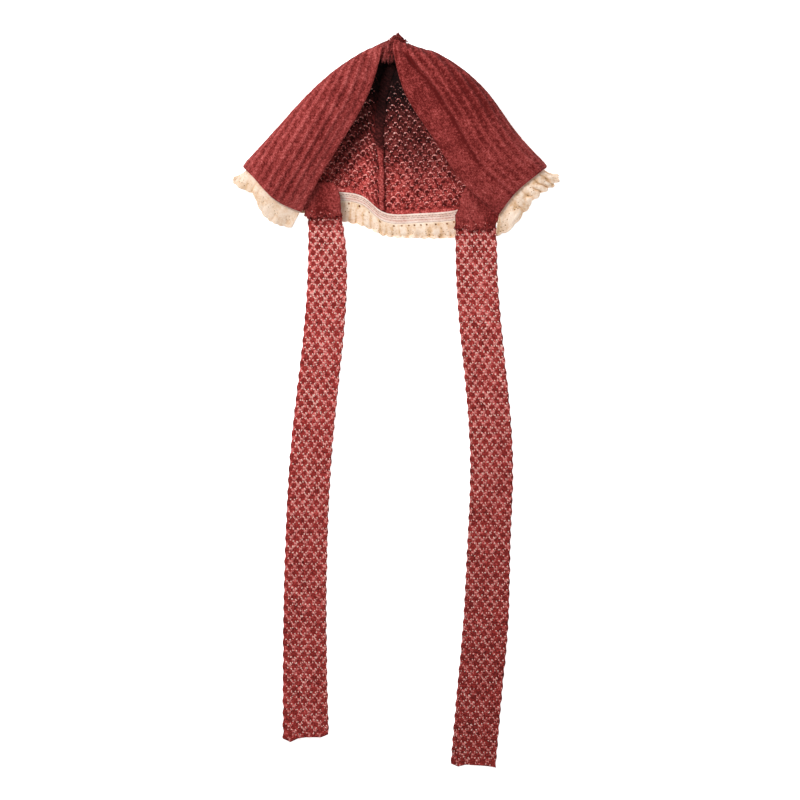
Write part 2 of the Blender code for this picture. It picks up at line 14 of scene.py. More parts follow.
import bpy
import numpy as np
from bpy.props import FloatProperty, FloatVectorProperty, PointerProperty
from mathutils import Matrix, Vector


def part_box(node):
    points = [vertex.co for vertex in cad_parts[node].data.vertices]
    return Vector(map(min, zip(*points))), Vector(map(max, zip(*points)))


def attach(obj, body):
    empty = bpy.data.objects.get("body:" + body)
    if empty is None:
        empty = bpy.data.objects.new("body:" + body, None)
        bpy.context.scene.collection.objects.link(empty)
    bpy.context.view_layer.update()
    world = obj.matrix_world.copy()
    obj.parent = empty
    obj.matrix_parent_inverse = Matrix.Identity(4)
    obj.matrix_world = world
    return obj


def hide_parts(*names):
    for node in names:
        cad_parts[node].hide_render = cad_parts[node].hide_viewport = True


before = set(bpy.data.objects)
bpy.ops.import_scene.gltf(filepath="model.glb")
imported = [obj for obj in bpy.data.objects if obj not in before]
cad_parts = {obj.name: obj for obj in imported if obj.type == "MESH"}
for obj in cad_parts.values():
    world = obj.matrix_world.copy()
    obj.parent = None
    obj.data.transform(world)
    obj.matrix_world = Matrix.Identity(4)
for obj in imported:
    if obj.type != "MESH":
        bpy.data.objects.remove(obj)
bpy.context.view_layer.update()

bl_info = {
    "name": "Knitted baby bonnet",
    "version": (1, 0, 0),
    "blender": (4, 5, 0),
    "location": "View3D > Sidebar > Bonnet",
    "description": "Dresses the solids of a baby bonnet in knit, lace and tape",
    "category": "Object",
}

# Sizes of the solids, in metres
CROWN_WIDTH = 0.219
CROWN_LENGTH = 0.124
CROWN_HEIGHT = 0.032
FOLD_DEPTH = 0.012
KNIT = 0.0026
PLAIN_HEM = 0.006
EDGE_STRIP = 0.0050
GATHER_WIDTH = 0.022
GATHER_HEIGHT = 0.016
GATHER_RISE = 0.0116
GATHER_PLANE = 0.0056
GATHER_LIP = 0.0015
KNOT_DEPTH = 0.017
TUFT_HEIGHT = 0.0050
SEAM_WIDTH = 0.0075
SEAM_HEIGHT = 0.0024
HEADING_HEIGHT = 0.0065
HEADING_WALL = 0.0010
LACE_DEPTH = 0.017
LACE_WALL = 0.0010
LACE_WAVE = 0.0026
WAVE_LENGTH = 0.017
TIE_WIDTH = 0.030
TIE_WALL = 0.0026
TIE_LENGTH = {"left": 0.379, "right": 0.398}
TIE_INSET = 0.0162
TIE_DROP = 0.056
TAB_LENGTH = 0.028
TAB_WIDTH = 0.0282
TAB_TUCK = 0.0045
TAB_WALL = 0.0030
TAB_REACH = 0.006
TAB_LAP = 0.007
GAP = 0.0003

# Shares and counts of the solids' shape
GATHER_ACROSS = 0.020  # of half CROWN_WIDTH
GATHER_TURN_IN = 0.36
SEAM_START = 0.22
FOLD_TURNS = (90, 45, 0, -45, -90)  # degrees
RISE = 2.5
CLOSED_BY = 0.03  # the way down at which the gather has opened
SAMPLES = 16
TUCK = 0.97
TUCK_RAMP = 0.08
WAVE_DRIFT = 0.31
TAB_SLOPE = 0.10

# The ribbed outside, in metres
KNIT_BORDER = 0.0013  # over which the knit's edges are rounded
RIGHT_RIBS = 29
RIBS_CLEAR = {"left": 0.012, "right": 0.004}  # over which the ribs come up beside the face edge
RIB_PATCH = 0.011  # in which the ribs wander a little
STRIP_EDGE = 0.001  # half the width of the step from the plain strip to the ribs
DIMPLE_RADII = (0.0017, 0.0023)  # across and along
LOOP_PATCHES = (0.0019, 0.0009)  # of the outer knit's tone
LOOP_HEIGHT = 0.00022
DENT_DEPTH = 0.0020
DENT_WIDTH = 0.0021
DENT_DOTS = 0.0040  # from dot to dot along the dent
DOT_WIDTH = 0.0010
DENT_LINE = 0.0011  # half the width of the dent's line of painted shade
DENT_TOP = 0.0016  # half the width of its darkest painted shade beside the gather
DIM_REACH = 0.030  # over which the right half turns away from the light
FOLD_RIM = 0.0050  # half the width of the painted shade along the side fold's outermost line
SHOULDER_DROP = 0.0024  # how much lower the right half starts beside the tuft
HEM_OVERHANG = 0.0032  # how far the back hem shows below the tape, behind the lace
OVERHANG_FROM = 0.006  # height above the hem from which the overhang grows
PLEAT_PITCH = 0.0041  # of the pleats that run into the gather
PLEAT_WANDER = 0.0031
PLEAT_HEIGHT = 0.0009

# The net inside the hood and on the ties, in metres
BOBBLE_RADII = (0.0019, 0.0020)
NET_WANDER = 0.00015  # how far the net wanders, in patches of NET_PATCH
NET_PATCH = 0.006
NET_NOISE = (0.0015, 0.0009)  # patches of the uneven outline of its hollows
NET_GRAIN = 0.0009
NET_FROM = 0.0012  # from the top of the tape to the first stitches of the net
NET_RAMP = 0.0025  # over which the net comes up
NET_SUNK = 0.0010
NET_HEIGHT = 0.0007
INNER_DEPTH = 0.0010  # of the soft folds inside
INNER_RISE = 0.0003  # the most that they rise
HIDDEN_GRAIN = 0.0016  # of the knit's tone under the tape
BESIDE_DENT = 0.0050  # clear of crossings on both sides of the dent
BESIDE_SEAM = 0.0012  # clear of crossings beside the seam, and how much more beside its top
BESIDE_SEAM_TOP = 0.0036
MIXED_PATCH = 0.010  # patches in which the specks and the arches mix
THREAD = 0.00042  # half the thickness of a loose thread
CROSSINGS = 6  # how many kinds of crossing each net has
FINE_GRAIN = 0.0012  # of the yarn's mottling
BROAD_GRAIN = 0.012

# The seam ridge and the bundle of the gather, in metres
SEAM_ASIDE = 0.0018  # how far right of the seam the middle of its ridge lies
SEAM_SWAYS = ((0.0004, 0.006), (0.0003, 0.0023))  # how far, and over what length for each radian
SEAM_SWELL = 0.0037
SEAM_SUNK = 0.0002
SEAM_LOOP = 0.0031  # from loop to loop along the ridge
SEAM_PATCH = 0.0028
SEAM_LOOP_HEIGHT = 0.0003
KNOT_PLEATS = 15
KNOT_PLEAT_HEIGHT = 0.00065
KNOT_STRANDS = 60
KNOT_STRAND_HEIGHT = 0.00012

# The tape and the lace, in metres
TAPE_STEP = 0.0008  # from point to point of the tape's mesh
STITCH_ROWS = (0.26, 0.45, 0.72)  # from the top of the tape, shares of its height
STITCH_PITCH = 0.0024
WEAVE_PITCH = 0.0016
WEAVE_HEIGHT = 0.00003
LACE_HALF_WALL = 0.0003
LACE_FALL = 0.0125  # the usual fall of the lace, which sets the rows of its mesh
LACE_LIFT = 0.0004  # how much higher its lower edge lies
SCALLOP_DEPTH = 0.0008
LOBE_DEPTH = 0.0018  # of the broad lobes at the right front corner
BEND_PATCH = 0.0055  # in which the pleats wander
CRUMPLES = (0.0035, 0.0016)  # patches of the crumpled cotton
CRUMPLE_HEIGHT = 0.00035
CORNER_CRUMPLE = 0.0005  # how much more it is crumpled at the right front corner
FLOWER_HOLES = 7
FLOWER_DROPS = (0.0060, 0.0085)
FLOWER_RADII = (0.0013, 0.0021)
PORE_ASIDE = 0.006
PORE_DROPS = (0.0035, 0.0110)
PORE_DEPTH = 0.0003
EYELET_DROP = 0.0017
# Eyelets below the tape at the back, across from the gather
EYELETS = (-0.0330, -0.0255, -0.0185, -0.0108, -0.0007, 0.0048, 0.0097, 0.0137, 0.0183, 0.0225,
           0.0290, 0.0367, 0.0418)
EYELET_DRAWN = 0.76  # how near to its middle the edge of an eyelet is drawn, as a share
BACK_LACE = (0.30, 0.74)  # where the hem lies behind the eyelets, as shares of its length

# The tabs and the ties, in metres
TAB_BORDER = 0.0024
TAB_RAGS = ((0.0016, 0.0026, 54), (0.0010, 0.0011, 55))  # how far, patches and seeds
TAB_SAG = 0.0012
TIE_BORDER = 0.0012
TIE_SUNK = 0.0003
TIE_END = 0.02  # over which the end of a tie gets its slant
TIE_SHADE = 0.013  # how far the shadow of a tab reaches
NET_ASIDE = 0.0005  # how far the net of a tie lies off its middle
EDGE_BULGE = 0.00036  # how far the edges of a tie swing with its bobbles
EDGE_PATCH = 0.0035
UNDER_RIB = 0.0063  # from rib to rib on the underside of a tie
UNDER_GROOVE = 0.0003
FLECK_EDGE = 0.0009  # clear of flecks along the edges of a tie
SLIM_EDGE = 0.0026  # over which the flecks get slimmer towards its edges

# Lines from the gather to the hem, near those of the solids. hem_x is a share of half
# CROWN_WIDTH, hem_y of CROWN_LENGTH and hem_z of CROWN_HEIGHT, gather is in degrees round the
# gather's oval, the bows are shares of CROWN_LENGTH and lift is a share of CROWN_HEIGHT.
Line = namedtuple("Line", "hem_x hem_y hem_z gather bow_1 bow_2 bow_3 lift")
LEFT = {
    "edge": Line(-0.612, -0.947, 0.62, 155, -0.052, -0.043, -0.015, 0.20),
    "panel": Line(-0.800, -0.868, 0.93, 163, 0.010, 0.012, 0.005, 0.22),
    "side": Line(-1.000, -0.682, 1.00, 186, 0.051, 0.053, 0.025, 0.16),
    "back": Line(-0.440, -0.865, 0.00, 228, 0.020, 0.030, 0.012, 0.00),
    "dip": Line(-0.200, -0.905, 0.00, 252, 0.055, 0.065, 0.030, 0.00),
}
SEAM = Line(-0.100, -0.980, 0.00, -90, 0.065, 0.070, 0.030, 0.00)
RIGHT = {
    "edge": Line(0.678, -0.964, 0.62, 117, -0.093, -0.092, -0.082, 0.16),
    "panel": Line(0.812, -0.818, 0.93, 68, 0.006, 0.004, -0.020, 0.20),
    "side": Line(1.000, -0.680, 1.00, -6, 0.064, 0.067, 0.018, 0.16),
    "back": Line(0.460, -0.970, 0.00, -58, 0.000, 0.000, 0.000, 0.00),
    "middle": Line(0.130, -1.001, 0.00, -76, -0.020, -0.025, -0.010, 0.00),
}

# Stations of the frill along the neck hem, near those of the solid. depth and drop are shares of
# LACE_DEPTH, lean and flare say how far it runs along the hem and stands out for each metre down,
# and wave is a share of LACE_WAVE.
Frill = namedtuple("Frill", "along depth lean flare drop wave")
FRILL = (
    Frill(0.000, 0.80, 0.00, 0.00, 0.10, 0.3),
    Frill(0.030, 0.89, -0.07, 0.00, 0.22, 0.4),
    Frill(0.060, 0.86, -0.28, 0.00, 0.30, 0.4),
    Frill(0.085, 0.68, -0.22, 0.00, 0.26, 0.3),
    Frill(0.105, 0.50, -0.18, 0.00, 0.20, 0.3),
    Frill(0.125, 0.70, 0.00, 0.00, 0.30, 0.4),
    Frill(0.145, 0.76, 0.30, 0.05, 0.35, 0.5),
    Frill(0.172, 0.56, 0.00, 0.28, 0.10, 0.5),
    Frill(0.231, 0.66, 0.00, 0.10, 0.20, 0.8),
    Frill(0.380, 0.84, 0.00, 0.00, 0.25, 1.0),
    Frill(0.430, 0.86, 0.00, 0.00, 0.25, 1.0),
    Frill(0.470, 0.64, 0.00, 0.00, 0.25, 1.0),
    Frill(0.550, 0.66, 0.00, 0.00, 0.25, 1.0),
    Frill(0.637, 0.76, 0.00, 0.00, 0.25, 1.0),
    Frill(0.782, 0.66, 0.00, 0.10, 0.20, 0.8),
    Frill(0.842, 0.58, 0.00, 0.42, 0.05, 0.8),
    Frill(0.860, 0.66, -0.20, 0.30, 0.20, 1.0),
    Frill(0.880, 0.78, -0.30, 0.15, 0.30, 1.0),
    Frill(0.905, 0.77, -0.29, 0.00, 0.30, 1.0),
    Frill(0.935, 0.78, 0.05, 0.00, 0.30, 1.0),
    Frill(0.970, 0.84, 0.46, 0.00, 0.28, 0.9),
    Frill(1.000, 0.36, 2.30, 0.00, 0.15, 0.6),
)

# Small pleats of the lace, at places along the neck hem: how strong they are, how long as a share
# of the usual pleat, and the painted shade of the lace there, which above 1 is painted light
Pleat = namedtuple("Pleat", "along amount size shade")
PLEATS = (
    Pleat(0.00, 0.10, 1.9, 0.97),
    Pleat(0.08, 0.40, 1.6, 0.97),
    Pleat(0.105, 0.90, 0.8, 0.94),
    Pleat(0.125, 0.60, 1.0, 0.82),
    Pleat(0.172, 0.55, 1.4, 0.82),
    Pleat(0.23, 0.70, 1.0, 0.95),
    Pleat(0.43, 1.20, 1.0, 1.00),
    Pleat(0.637, 1.20, 1.1, 1.03),
    Pleat(0.842, 1.30, 1.3, 1.00),
    Pleat(0.875, 2.10, 1.0, 0.96),
    Pleat(0.92, 2.30, 1.7, 1.02),
    Pleat(0.97, 1.90, 2.0, 1.04),
    Pleat(1.00, 0.80, 1.2, 0.94),
)

# Stations of a tie from its top, as the solids have them, in shares of its length and width
Station = namedtuple("Station", "along sway width")
TIE_STATIONS = {
    "left": (
        Station(0.00, 0.000, 0.78),
        Station(0.05, 0.050, 0.88),
        Station(0.16, 0.043, 0.96),
        Station(0.33, -0.160, 0.985),
        Station(0.45, -0.317, 1.00),
        Station(0.60, -0.427, 1.01),
        Station(0.80, -0.477, 1.04),
        Station(1.00, -0.453, 1.10),
    ),
    "right": (
        Station(0.00, 0.000, 0.98),
        Station(0.14, 0.053, 1.00),
        Station(0.31, 0.267, 1.015),
        Station(0.46, 0.385, 1.025),
        Station(0.61, 0.313, 1.04),
        Station(0.72, 0.260, 1.08),
        Station(0.87, 0.090, 1.09),
        Station(1.00, -0.057, 1.08),
    ),
}
TIE_FADING = {"left": 0.08, "right": 0.16}  # how much painted shade darkens its end
# How far the end of a tie hangs lower than its length, across it from left to right, in metres
TIE_ENDS = {
    "left": (0.0008, 0.0034, 0.0008, 0.0, 0.0, 0.0, -0.0022),
    "right": (-0.0022, 0.0, -0.0014, -0.0010, -0.0007, -0.0003, 0.0008),
}

# Distance of the dented valley of the right half from its face edge, down the rows, in metres
VALLEY = (
    (0.00, 0.0072),
    (0.055, 0.0086),
    (0.15, 0.0138),
    (0.24, 0.0192),
    (0.31, 0.0207),
    (0.475, 0.0206),
    (0.61, 0.0196),
    (1.00, 0.0185),
)

# How much shorter a tab is than its solid and how much broader at its lower end, in metres, where
# the painted shadow across it starts and how far that slants, as shares of its width, and how much
# painted shade darkens the middle of its lower end and the top of its tie
Tab = namedtuple("Tab", "rise broad shadow slant dark")
TABS = {
    "left": Tab(0.0042, 0.0, 0.78, -0.36, 0.26),
    "right": Tab(-0.0022, 0.0028, 0.90, -0.85, 0.06),
}
# What lies under the face edge and what shows, down a tab, as shares of TAB_TUCK and TAB_WIDTH
Flap = namedtuple("Flap", "along under shown")
FLAPS = (
    Flap(0.00, 0.5, 0.82),
    Flap(0.20, 1.0, 0.92),
    Flap(0.55, 1.0, 0.99),
    Flap(0.76, 0.8, 1.00),
    Flap(0.86, -0.2, 1.00),
    Flap(1.00, -0.4, 0.97),
)

# Soft folds of the inside of the back: degrees from straight down as seen from FOLD_ROOT half way
# down and how much they swing, width in degrees, depth, which also sets their painted shade, and
# the row at which they have ended
InnerFold = namedtuple("InnerFold", "turn swing width depth ends")
FOLD_ROOT = (-0.0014, 0.0036)
INNER_FOLDS = (
    InnerFold(-25.0, 0.0, 6.0, 0.30, 1.00),
    InnerFold(-12.5, 0.0, 2.8, -0.50, 1.05),
    InnerFold(-5.6, 4.0, 2.0, 0.80, 1.10),
    InnerFold(1.5, 3.0, 2.4, -0.35, 1.00),
    InnerFold(6.0, 18.0, 1.8, 0.55, 0.95),
    InnerFold(15.0, 0.0, 4.0, 0.50, 0.85),
    InnerFold(27.0, 0.0, 4.0, 0.55, 1.10),
)

# Rings of the bunched knit: shares of KNOT_DEPTH below 0 and of TUFT_HEIGHT above it, and of the
# gather's width and height
Ring = namedtuple("Ring", "place across up")
KNOT_RINGS = (
    Ring(-1.00, 0.14, 0.14),
    Ring(-0.93, 0.50, 0.44),
    Ring(-0.60, 0.66, 0.56),
    Ring(-0.28, 0.56, 0.46),
    Ring(0.00, 0.30, 0.17),
    Ring(0.22, 0.40, 0.40),
    Ring(0.50, 0.41, 0.42),
    Ring(0.72, 0.26, 0.26),
)

# Loose ends of the tuft in groups, and the bunched folds of the gather, in metres from the gather
Tuft = namedtuple("Tuft", "count root_x root_y tip_x tip_y spread loose thick tone")
TUFTS = (
    Tuft(64, 0.0014, 0.0052, 0.0024, 0.0116, 0.0020, 0.0007, 0.00040, 0.46),
    Tuft(44, -0.0024, 0.0050, -0.0014, 0.0090, 0.0015, 0.0009, 0.00038, 0.54),
    Tuft(30, 0.0048, 0.0044, 0.0050, 0.0084, 0.0012, 0.0007, 0.00036, 0.24),
    Tuft(14, 0.0064, 0.0056, 0.0078, 0.0073, 0.0007, 0.0004, 0.00030, 0.22),
    Tuft(2, 0.0076, 0.0066, 0.0098, 0.0058, 0.0002, 0.0002, 0.00022, 0.40),
)
TopFold = namedtuple("TopFold", "x0 y0 z0 x1 y1 z1 width tone")
TOP_FOLDS = (
    TopFold(-0.0064, 0.0030, 0.0148, -0.0114, -0.0076, 0.0146, 0.0026, 0.22),
    TopFold(-0.0050, 0.0045, 0.0150, -0.0094, -0.0098, 0.0154, 0.0032, 0.34),
    TopFold(-0.0034, 0.0050, 0.0155, -0.0072, -0.0104, 0.0158, 0.0030, 0.20),
    TopFold(-0.0020, 0.0050, 0.0155, -0.0052, -0.0106, 0.0158, 0.0030, 0.34),
    TopFold(-0.0006, 0.0050, 0.0160, -0.0034, -0.0102, 0.0160, 0.0028, 0.16),
    TopFold(0.0008, 0.0050, 0.0160, -0.0016, -0.0092, 0.0160, 0.0028, 0.32),
    TopFold(-0.0054, 0.0040, 0.0155, -0.0112, 0.0014, 0.0155, 0.0042, 0.48),
    TopFold(-0.0074, 0.0040, 0.0150, -0.0020, 0.0058, 0.0158, 0.0032, 0.34),
    TopFold(-0.0042, 0.0052, 0.0158, -0.0060, -0.0020, 0.0176, 0.0030, 0.42),
    TopFold(-0.0018, 0.0062, 0.0160, -0.0030, -0.0026, 0.0180, 0.0026, 0.14),
    TopFold(0.0004, 0.0064, 0.0160, -0.0006, -0.0036, 0.0184, 0.0032, 0.40),
    TopFold(0.0022, 0.0060, 0.0160, 0.0018, -0.0040, 0.0186, 0.0024, 0.12),
    TopFold(0.0044, 0.0052, 0.0165, 0.0052, -0.0050, 0.0198, 0.0028, 0.50),
    TopFold(0.0066, 0.0044, 0.0160, 0.0080, -0.0056, 0.0198, 0.0024, 0.10),
    TopFold(0.0092, 0.0034, 0.0155, 0.0116, -0.0060, 0.0192, 0.0030, 0.46),
)

# Small knots of pale thread at a crossing of the net: x and y in metres from its middle, and how
# much paler than the crossing they are, on the ties first, then deep and low inside the hood
TIE_SPECKS = (
    (-0.0009, 0.0019, 0.55),
    (0.0009, -0.0017, 0.45),
    (0.0019, 0.0021, 0.40),
    (-0.0018, -0.0022, 0.35),
    (0.0001, 0.0003, 0.25),
    (-0.0017, 0.0010, 0.05),
)
Knot = namedtuple("Knot", "x y size tone")
DEEP_KNOTS = (
    Knot(0.0002, 0.0016, 0.00052, 0.34),
    Knot(-0.0017, 0.0004, 0.00042, -0.08),
    Knot(0.0017, -0.0006, 0.00044, -0.02),
    Knot(-0.0006, -0.0021, 0.00038, -0.18),
)
LOW_KNOTS = (
    Knot(0.0001, 0.0016, 0.00050, 0.12),
    Knot(-0.0019, 0.0000, 0.00044, -0.06),
    Knot(0.0019, -0.0002, 0.00044, -0.02),
    Knot(-0.0010, -0.0020, 0.00038, -0.14),
    Knot(0.0012, -0.0023, 0.00038, -0.10),
)

# The cloths: the settings that they take their colours from, for their hollows, their body and
# their tops, how strong their mottling is, the width of their stitches in metres where it isn't
# the knit's own, how much the stitches show, and the height of their relief in metres. For the
# red, inner and bobbled knit, the tape and the lace, the first colour paints shade in hollows,
# valleys and grooves, the lace's fold colour paints shade in its creases, and the knit's crest
# colour paints light on its ribs
Cloth = namedtuple("Cloth", "settings colours mottle stitch weave relief")
CLOTHS = {
    "red_yarn": Cloth("bonnet_knit", "shadow body crest", 1.6, None, 0.25, 0.0004),
    "bunched_yarn": Cloth("bonnet_knit", "shadow body crest", 2.0, 0.0021, 0.3, 0.0004),
    "inner_yarn": Cloth("bonnet_knit", "hollow inner net", 1.3, None, 0.2, 0.0004),
    "bobbled_yarn": Cloth("bonnet_knit", "bobble_shadow bobble ground", 1.3, None, 0.2, 0.0004),
    "pale_yarn": Cloth("bonnet_knit", "bobble net fleck", 0.8, None, 0.0, 0.0004),
    "woven_tape": Cloth("bonnet_lace", "seam_thread tape_shadow tape", 0.5, 0.0009, 0.15, 0.0002),
    "cotton_lace": Cloth("bonnet_lace", "hollow fold cream", 0.7, 0.0010, 0.15, 0.0002),
    "grey_thread": Cloth("bonnet_lace", "seam_thread " * 3, 0.3, 0.0009, 0.0, 0.0001),
    "pink_thread": Cloth("bonnet_lace", "pink_thread " * 3, 0.3, 0.0009, 0.0, 0.0001),
}

PHOTO_SPAN = 0.576  # metres across the picture
PHOTO_MIDDLE = (0.0033, 0.0002)
PHOTO_PLANE = 0.010  # height at which the picture's scale holds
LENS = 250.0
SENSOR = 36.0
FLOOR_HALF = 6.0
FLOOR_DROP = 0.0004
WORLD_LIGHT = 0.46
LIT_SPOT = (0, 0.1, 0)  # where the lamps point
Lamp = namedtuple("Lamp", "name x y z power size")
LAMPS = (
    Lamp("key_light", -0.36, 0.48, 0.80, 7.7, 0.30),
    Lamp("fill_light", 0.5, 0.2, 1.5, 0.9, 1.2),
)


def display(red, green, blue):
    """The light of a colour that shows as these three of 255."""
    return tuple(((c / 255 + 0.055) / 1.055) ** 2.4 for c in (red, green, blue))


def distance_setting(name, default, description, least=0.0):
    """A length in metres that can be changed."""
    return FloatProperty(
        name=name,
        description=description,
        default=default,
        min=least,
        unit="LENGTH",
        subtype="DISTANCE",
    )


def colour_setting(name, default, description):
    """A colour that can be changed."""
    return FloatVectorProperty(
        name=name,
        description=description,
        default=display(*default),
        size=3,
        subtype="COLOR",
    )


class BonnetKnit(bpy.types.PropertyGroup):
    """Sizes and colours of the knit."""

    step: distance_setting("Mesh step", 0.00083, "From point to point of the mesh", 0.0004)
    rib_pitch: distance_setting("Rib pitch", 0.0063, "From rib to rib outside")
    rib_height: distance_setting("Rib height", 0.0011, "How far a rib stands out")
    dimple_pitch: distance_setting("Dimple pitch", 0.0080, "From dimple to dimple along a valley")
    dimple_depth: distance_setting("Dimple depth", 0.00050, "How deep a dimple's ring is")
    cell_across: distance_setting("Cell across", 0.0068, "From bobble to bobble across")
    cell_along: distance_setting("Cell along", 0.0084, "From bobble to bobble along")
    bobble_height: distance_setting("Bobble height", 0.00070, "How far a bobble stands out")
    stitch: distance_setting("Stitch width", 0.0016, "Of the stitches in the yarn's relief")
    # Painted light and shade: shadow paints the shade in the rib valleys, crest the light on the rib
    # tops, hollow the shade deep inside the hood and bobble_shadow the shade round the ties' bobbles
    shadow: colour_setting("Valley colour", (90, 16, 14), "Of the knit between the ribs")
    body: colour_setting("Knit colour", (150, 58, 55), "Of the knit's yarn")
    crest: colour_setting("Crest colour", (200, 102, 98), "Of the tops of the ribs")
    hollow: colour_setting("Hollow colour", (66, 6, 5), "Of the dark hollows inside the hood")
    inner: colour_setting("Inner colour", (164, 62, 58), "Of the stitches inside the hood")
    bobble_shadow: colour_setting(
        "Bobble shadow colour", (92, 22, 20), "Of the ties beside their bobbles")
    bobble: colour_setting("Bobble colour", (168, 54, 50), "Of the dark bobbles")
    ground: colour_setting("Ground colour", (244, 140, 136), "Of the ties between their bobbles")
    net: colour_setting("Net colour", (236, 154, 148), "Of the threads between the bobbles")
    fleck: colour_setting("Fleck colour", (255, 220, 208), "Of the palest flecks")


class BonnetLace(bpy.types.PropertyGroup):
    """Sizes and colours of the lace and its tape."""

    step: distance_setting("Mesh step", 0.00046, "From point to point of the mesh", 0.0003)
    flower_pitch: distance_setting(
        "Flower pitch", 0.0118, "From one pierced flower to the next")
    scallop: distance_setting("Scallop width", 0.0059, "Of the scallops of the lower edge")
    pleat: distance_setting("Pleat length", 0.0058, "From gather to gather below the tape")
    pleat_height: distance_setting("Pleat height", 0.0009, "How far a small pleat stands up")
    # Painted shade: hollow darkens the lace in and round its eyelets and pores, fold darkens its
    # creases and tape_shadow the tape's grooves
    hollow: colour_setting("Eyelet colour", (84, 58, 40), "Of the lace in its eyelets")
    fold: colour_setting("Fold colour", (224, 182, 140), "Of the lace deep in its folds")
    cream: colour_setting("Lace colour", (252, 230, 210), "Of the cotton")
    seam_thread: colour_setting(
        "Thread colour", (128, 88, 76), "Of the grey stitches on the tape")
    pink_thread: colour_setting(
        "Pink thread colour", (206, 104, 98), "Of the lowest row of stitches")
    tape_shadow: colour_setting("Tape groove colour", (206, 160, 142), "Of the tape's grooves")
    tape: colour_setting("Tape colour", (255, 236, 224), "Of the tape")


def natural_spline(knots, values, at):
    """Smooth curve through the values at the knots."""
    knots = np.asarray(knots, float)
    values = np.asarray(values, float)
    count = len(knots)
    step = np.diff(knots)
    slope = np.diff(values, axis=0) / step[:, None]
    matrix = np.zeros((count, count))
    right = np.zeros_like(values)
    matrix[0, 0] = matrix[-1, -1] = 1.0
    for i in range(1, count - 1):
        matrix[i, i - 1 : i + 2] = step[i - 1], 2 * (step[i - 1] + step[i]), step[i]
        right[i] = 3 * (slope[i] - slope[i - 1])
    second = np.linalg.solve(matrix, right)
    first = slope - step[:, None] * (2 * second[:-1] + second[1:]) / 3
    third = np.diff(second, axis=0) / (3 * step[:, None])
    span = np.clip(np.searchsorted(knots, at, side="right") - 1, 0, count - 2)
    along = (np.asarray(at) - knots[span])[:, None]
    return values[span] + along * (first[span] + along * (second[span] + along * third[span]))


def along_rows(rows, at):
    """What a table's rows say, smoothly from each to the next, at places of its first column."""
    return natural_spline([row[0] for row in rows], [row[1:] for row in rows], at)


def eased(x):
    """0 to 1 with flat ends."""
    x = np.clip(x, 0.0, 1.0)
    return x * x * (3 - 2 * x)


def unit(vectors):
    """The same directions, 1 long."""
    return vectors / np.linalg.norm(vectors, axis=-1, keepdims=True)


def lengths_along(points):
    """Distance of each point from the first one, along the points."""
    return np.concatenate([[0], np.cumsum(np.linalg.norm(np.diff(points, axis=0), axis=1))])


def rounding(distance, reach):
    """0 at an edge and 1 past its round border."""
    x = np.clip(distance / reach, 0.0, 1.0)
    return np.sqrt(1 - (1 - x) ** 2)


def edge_steps(length, step, border):
    """Places from 0 to length that lie closer together at both ends."""
    inner = np.linspace(border, length - border, max(2, round((length - 2 * border) / step)))
    outer = border * np.array([0.0, 0.06, 0.22, 0.5, 0.78])
    return np.concatenate([outer, inner, (length - outer)[::-1]])


def mottle(x, y, size, seed):
    """Smooth random heights from -1 to 1 in patches of that size."""
    table = np.random.default_rng(seed).uniform(-1, 1, (64, 64))
    x, y = x / size, y / size
    i, j = np.floor(x).astype(int), np.floor(y).astype(int)
    fx, fy = eased(x - i), eased(y - j)
    low = table[i % 64, j % 64] * (1 - fx) + table[(i + 1) % 64, j % 64] * fx
    high = table[i % 64, (j + 1) % 64] * (1 - fx) + table[(i + 1) % 64, (j + 1) % 64] * fx
    return low * (1 - fy) + high * fy


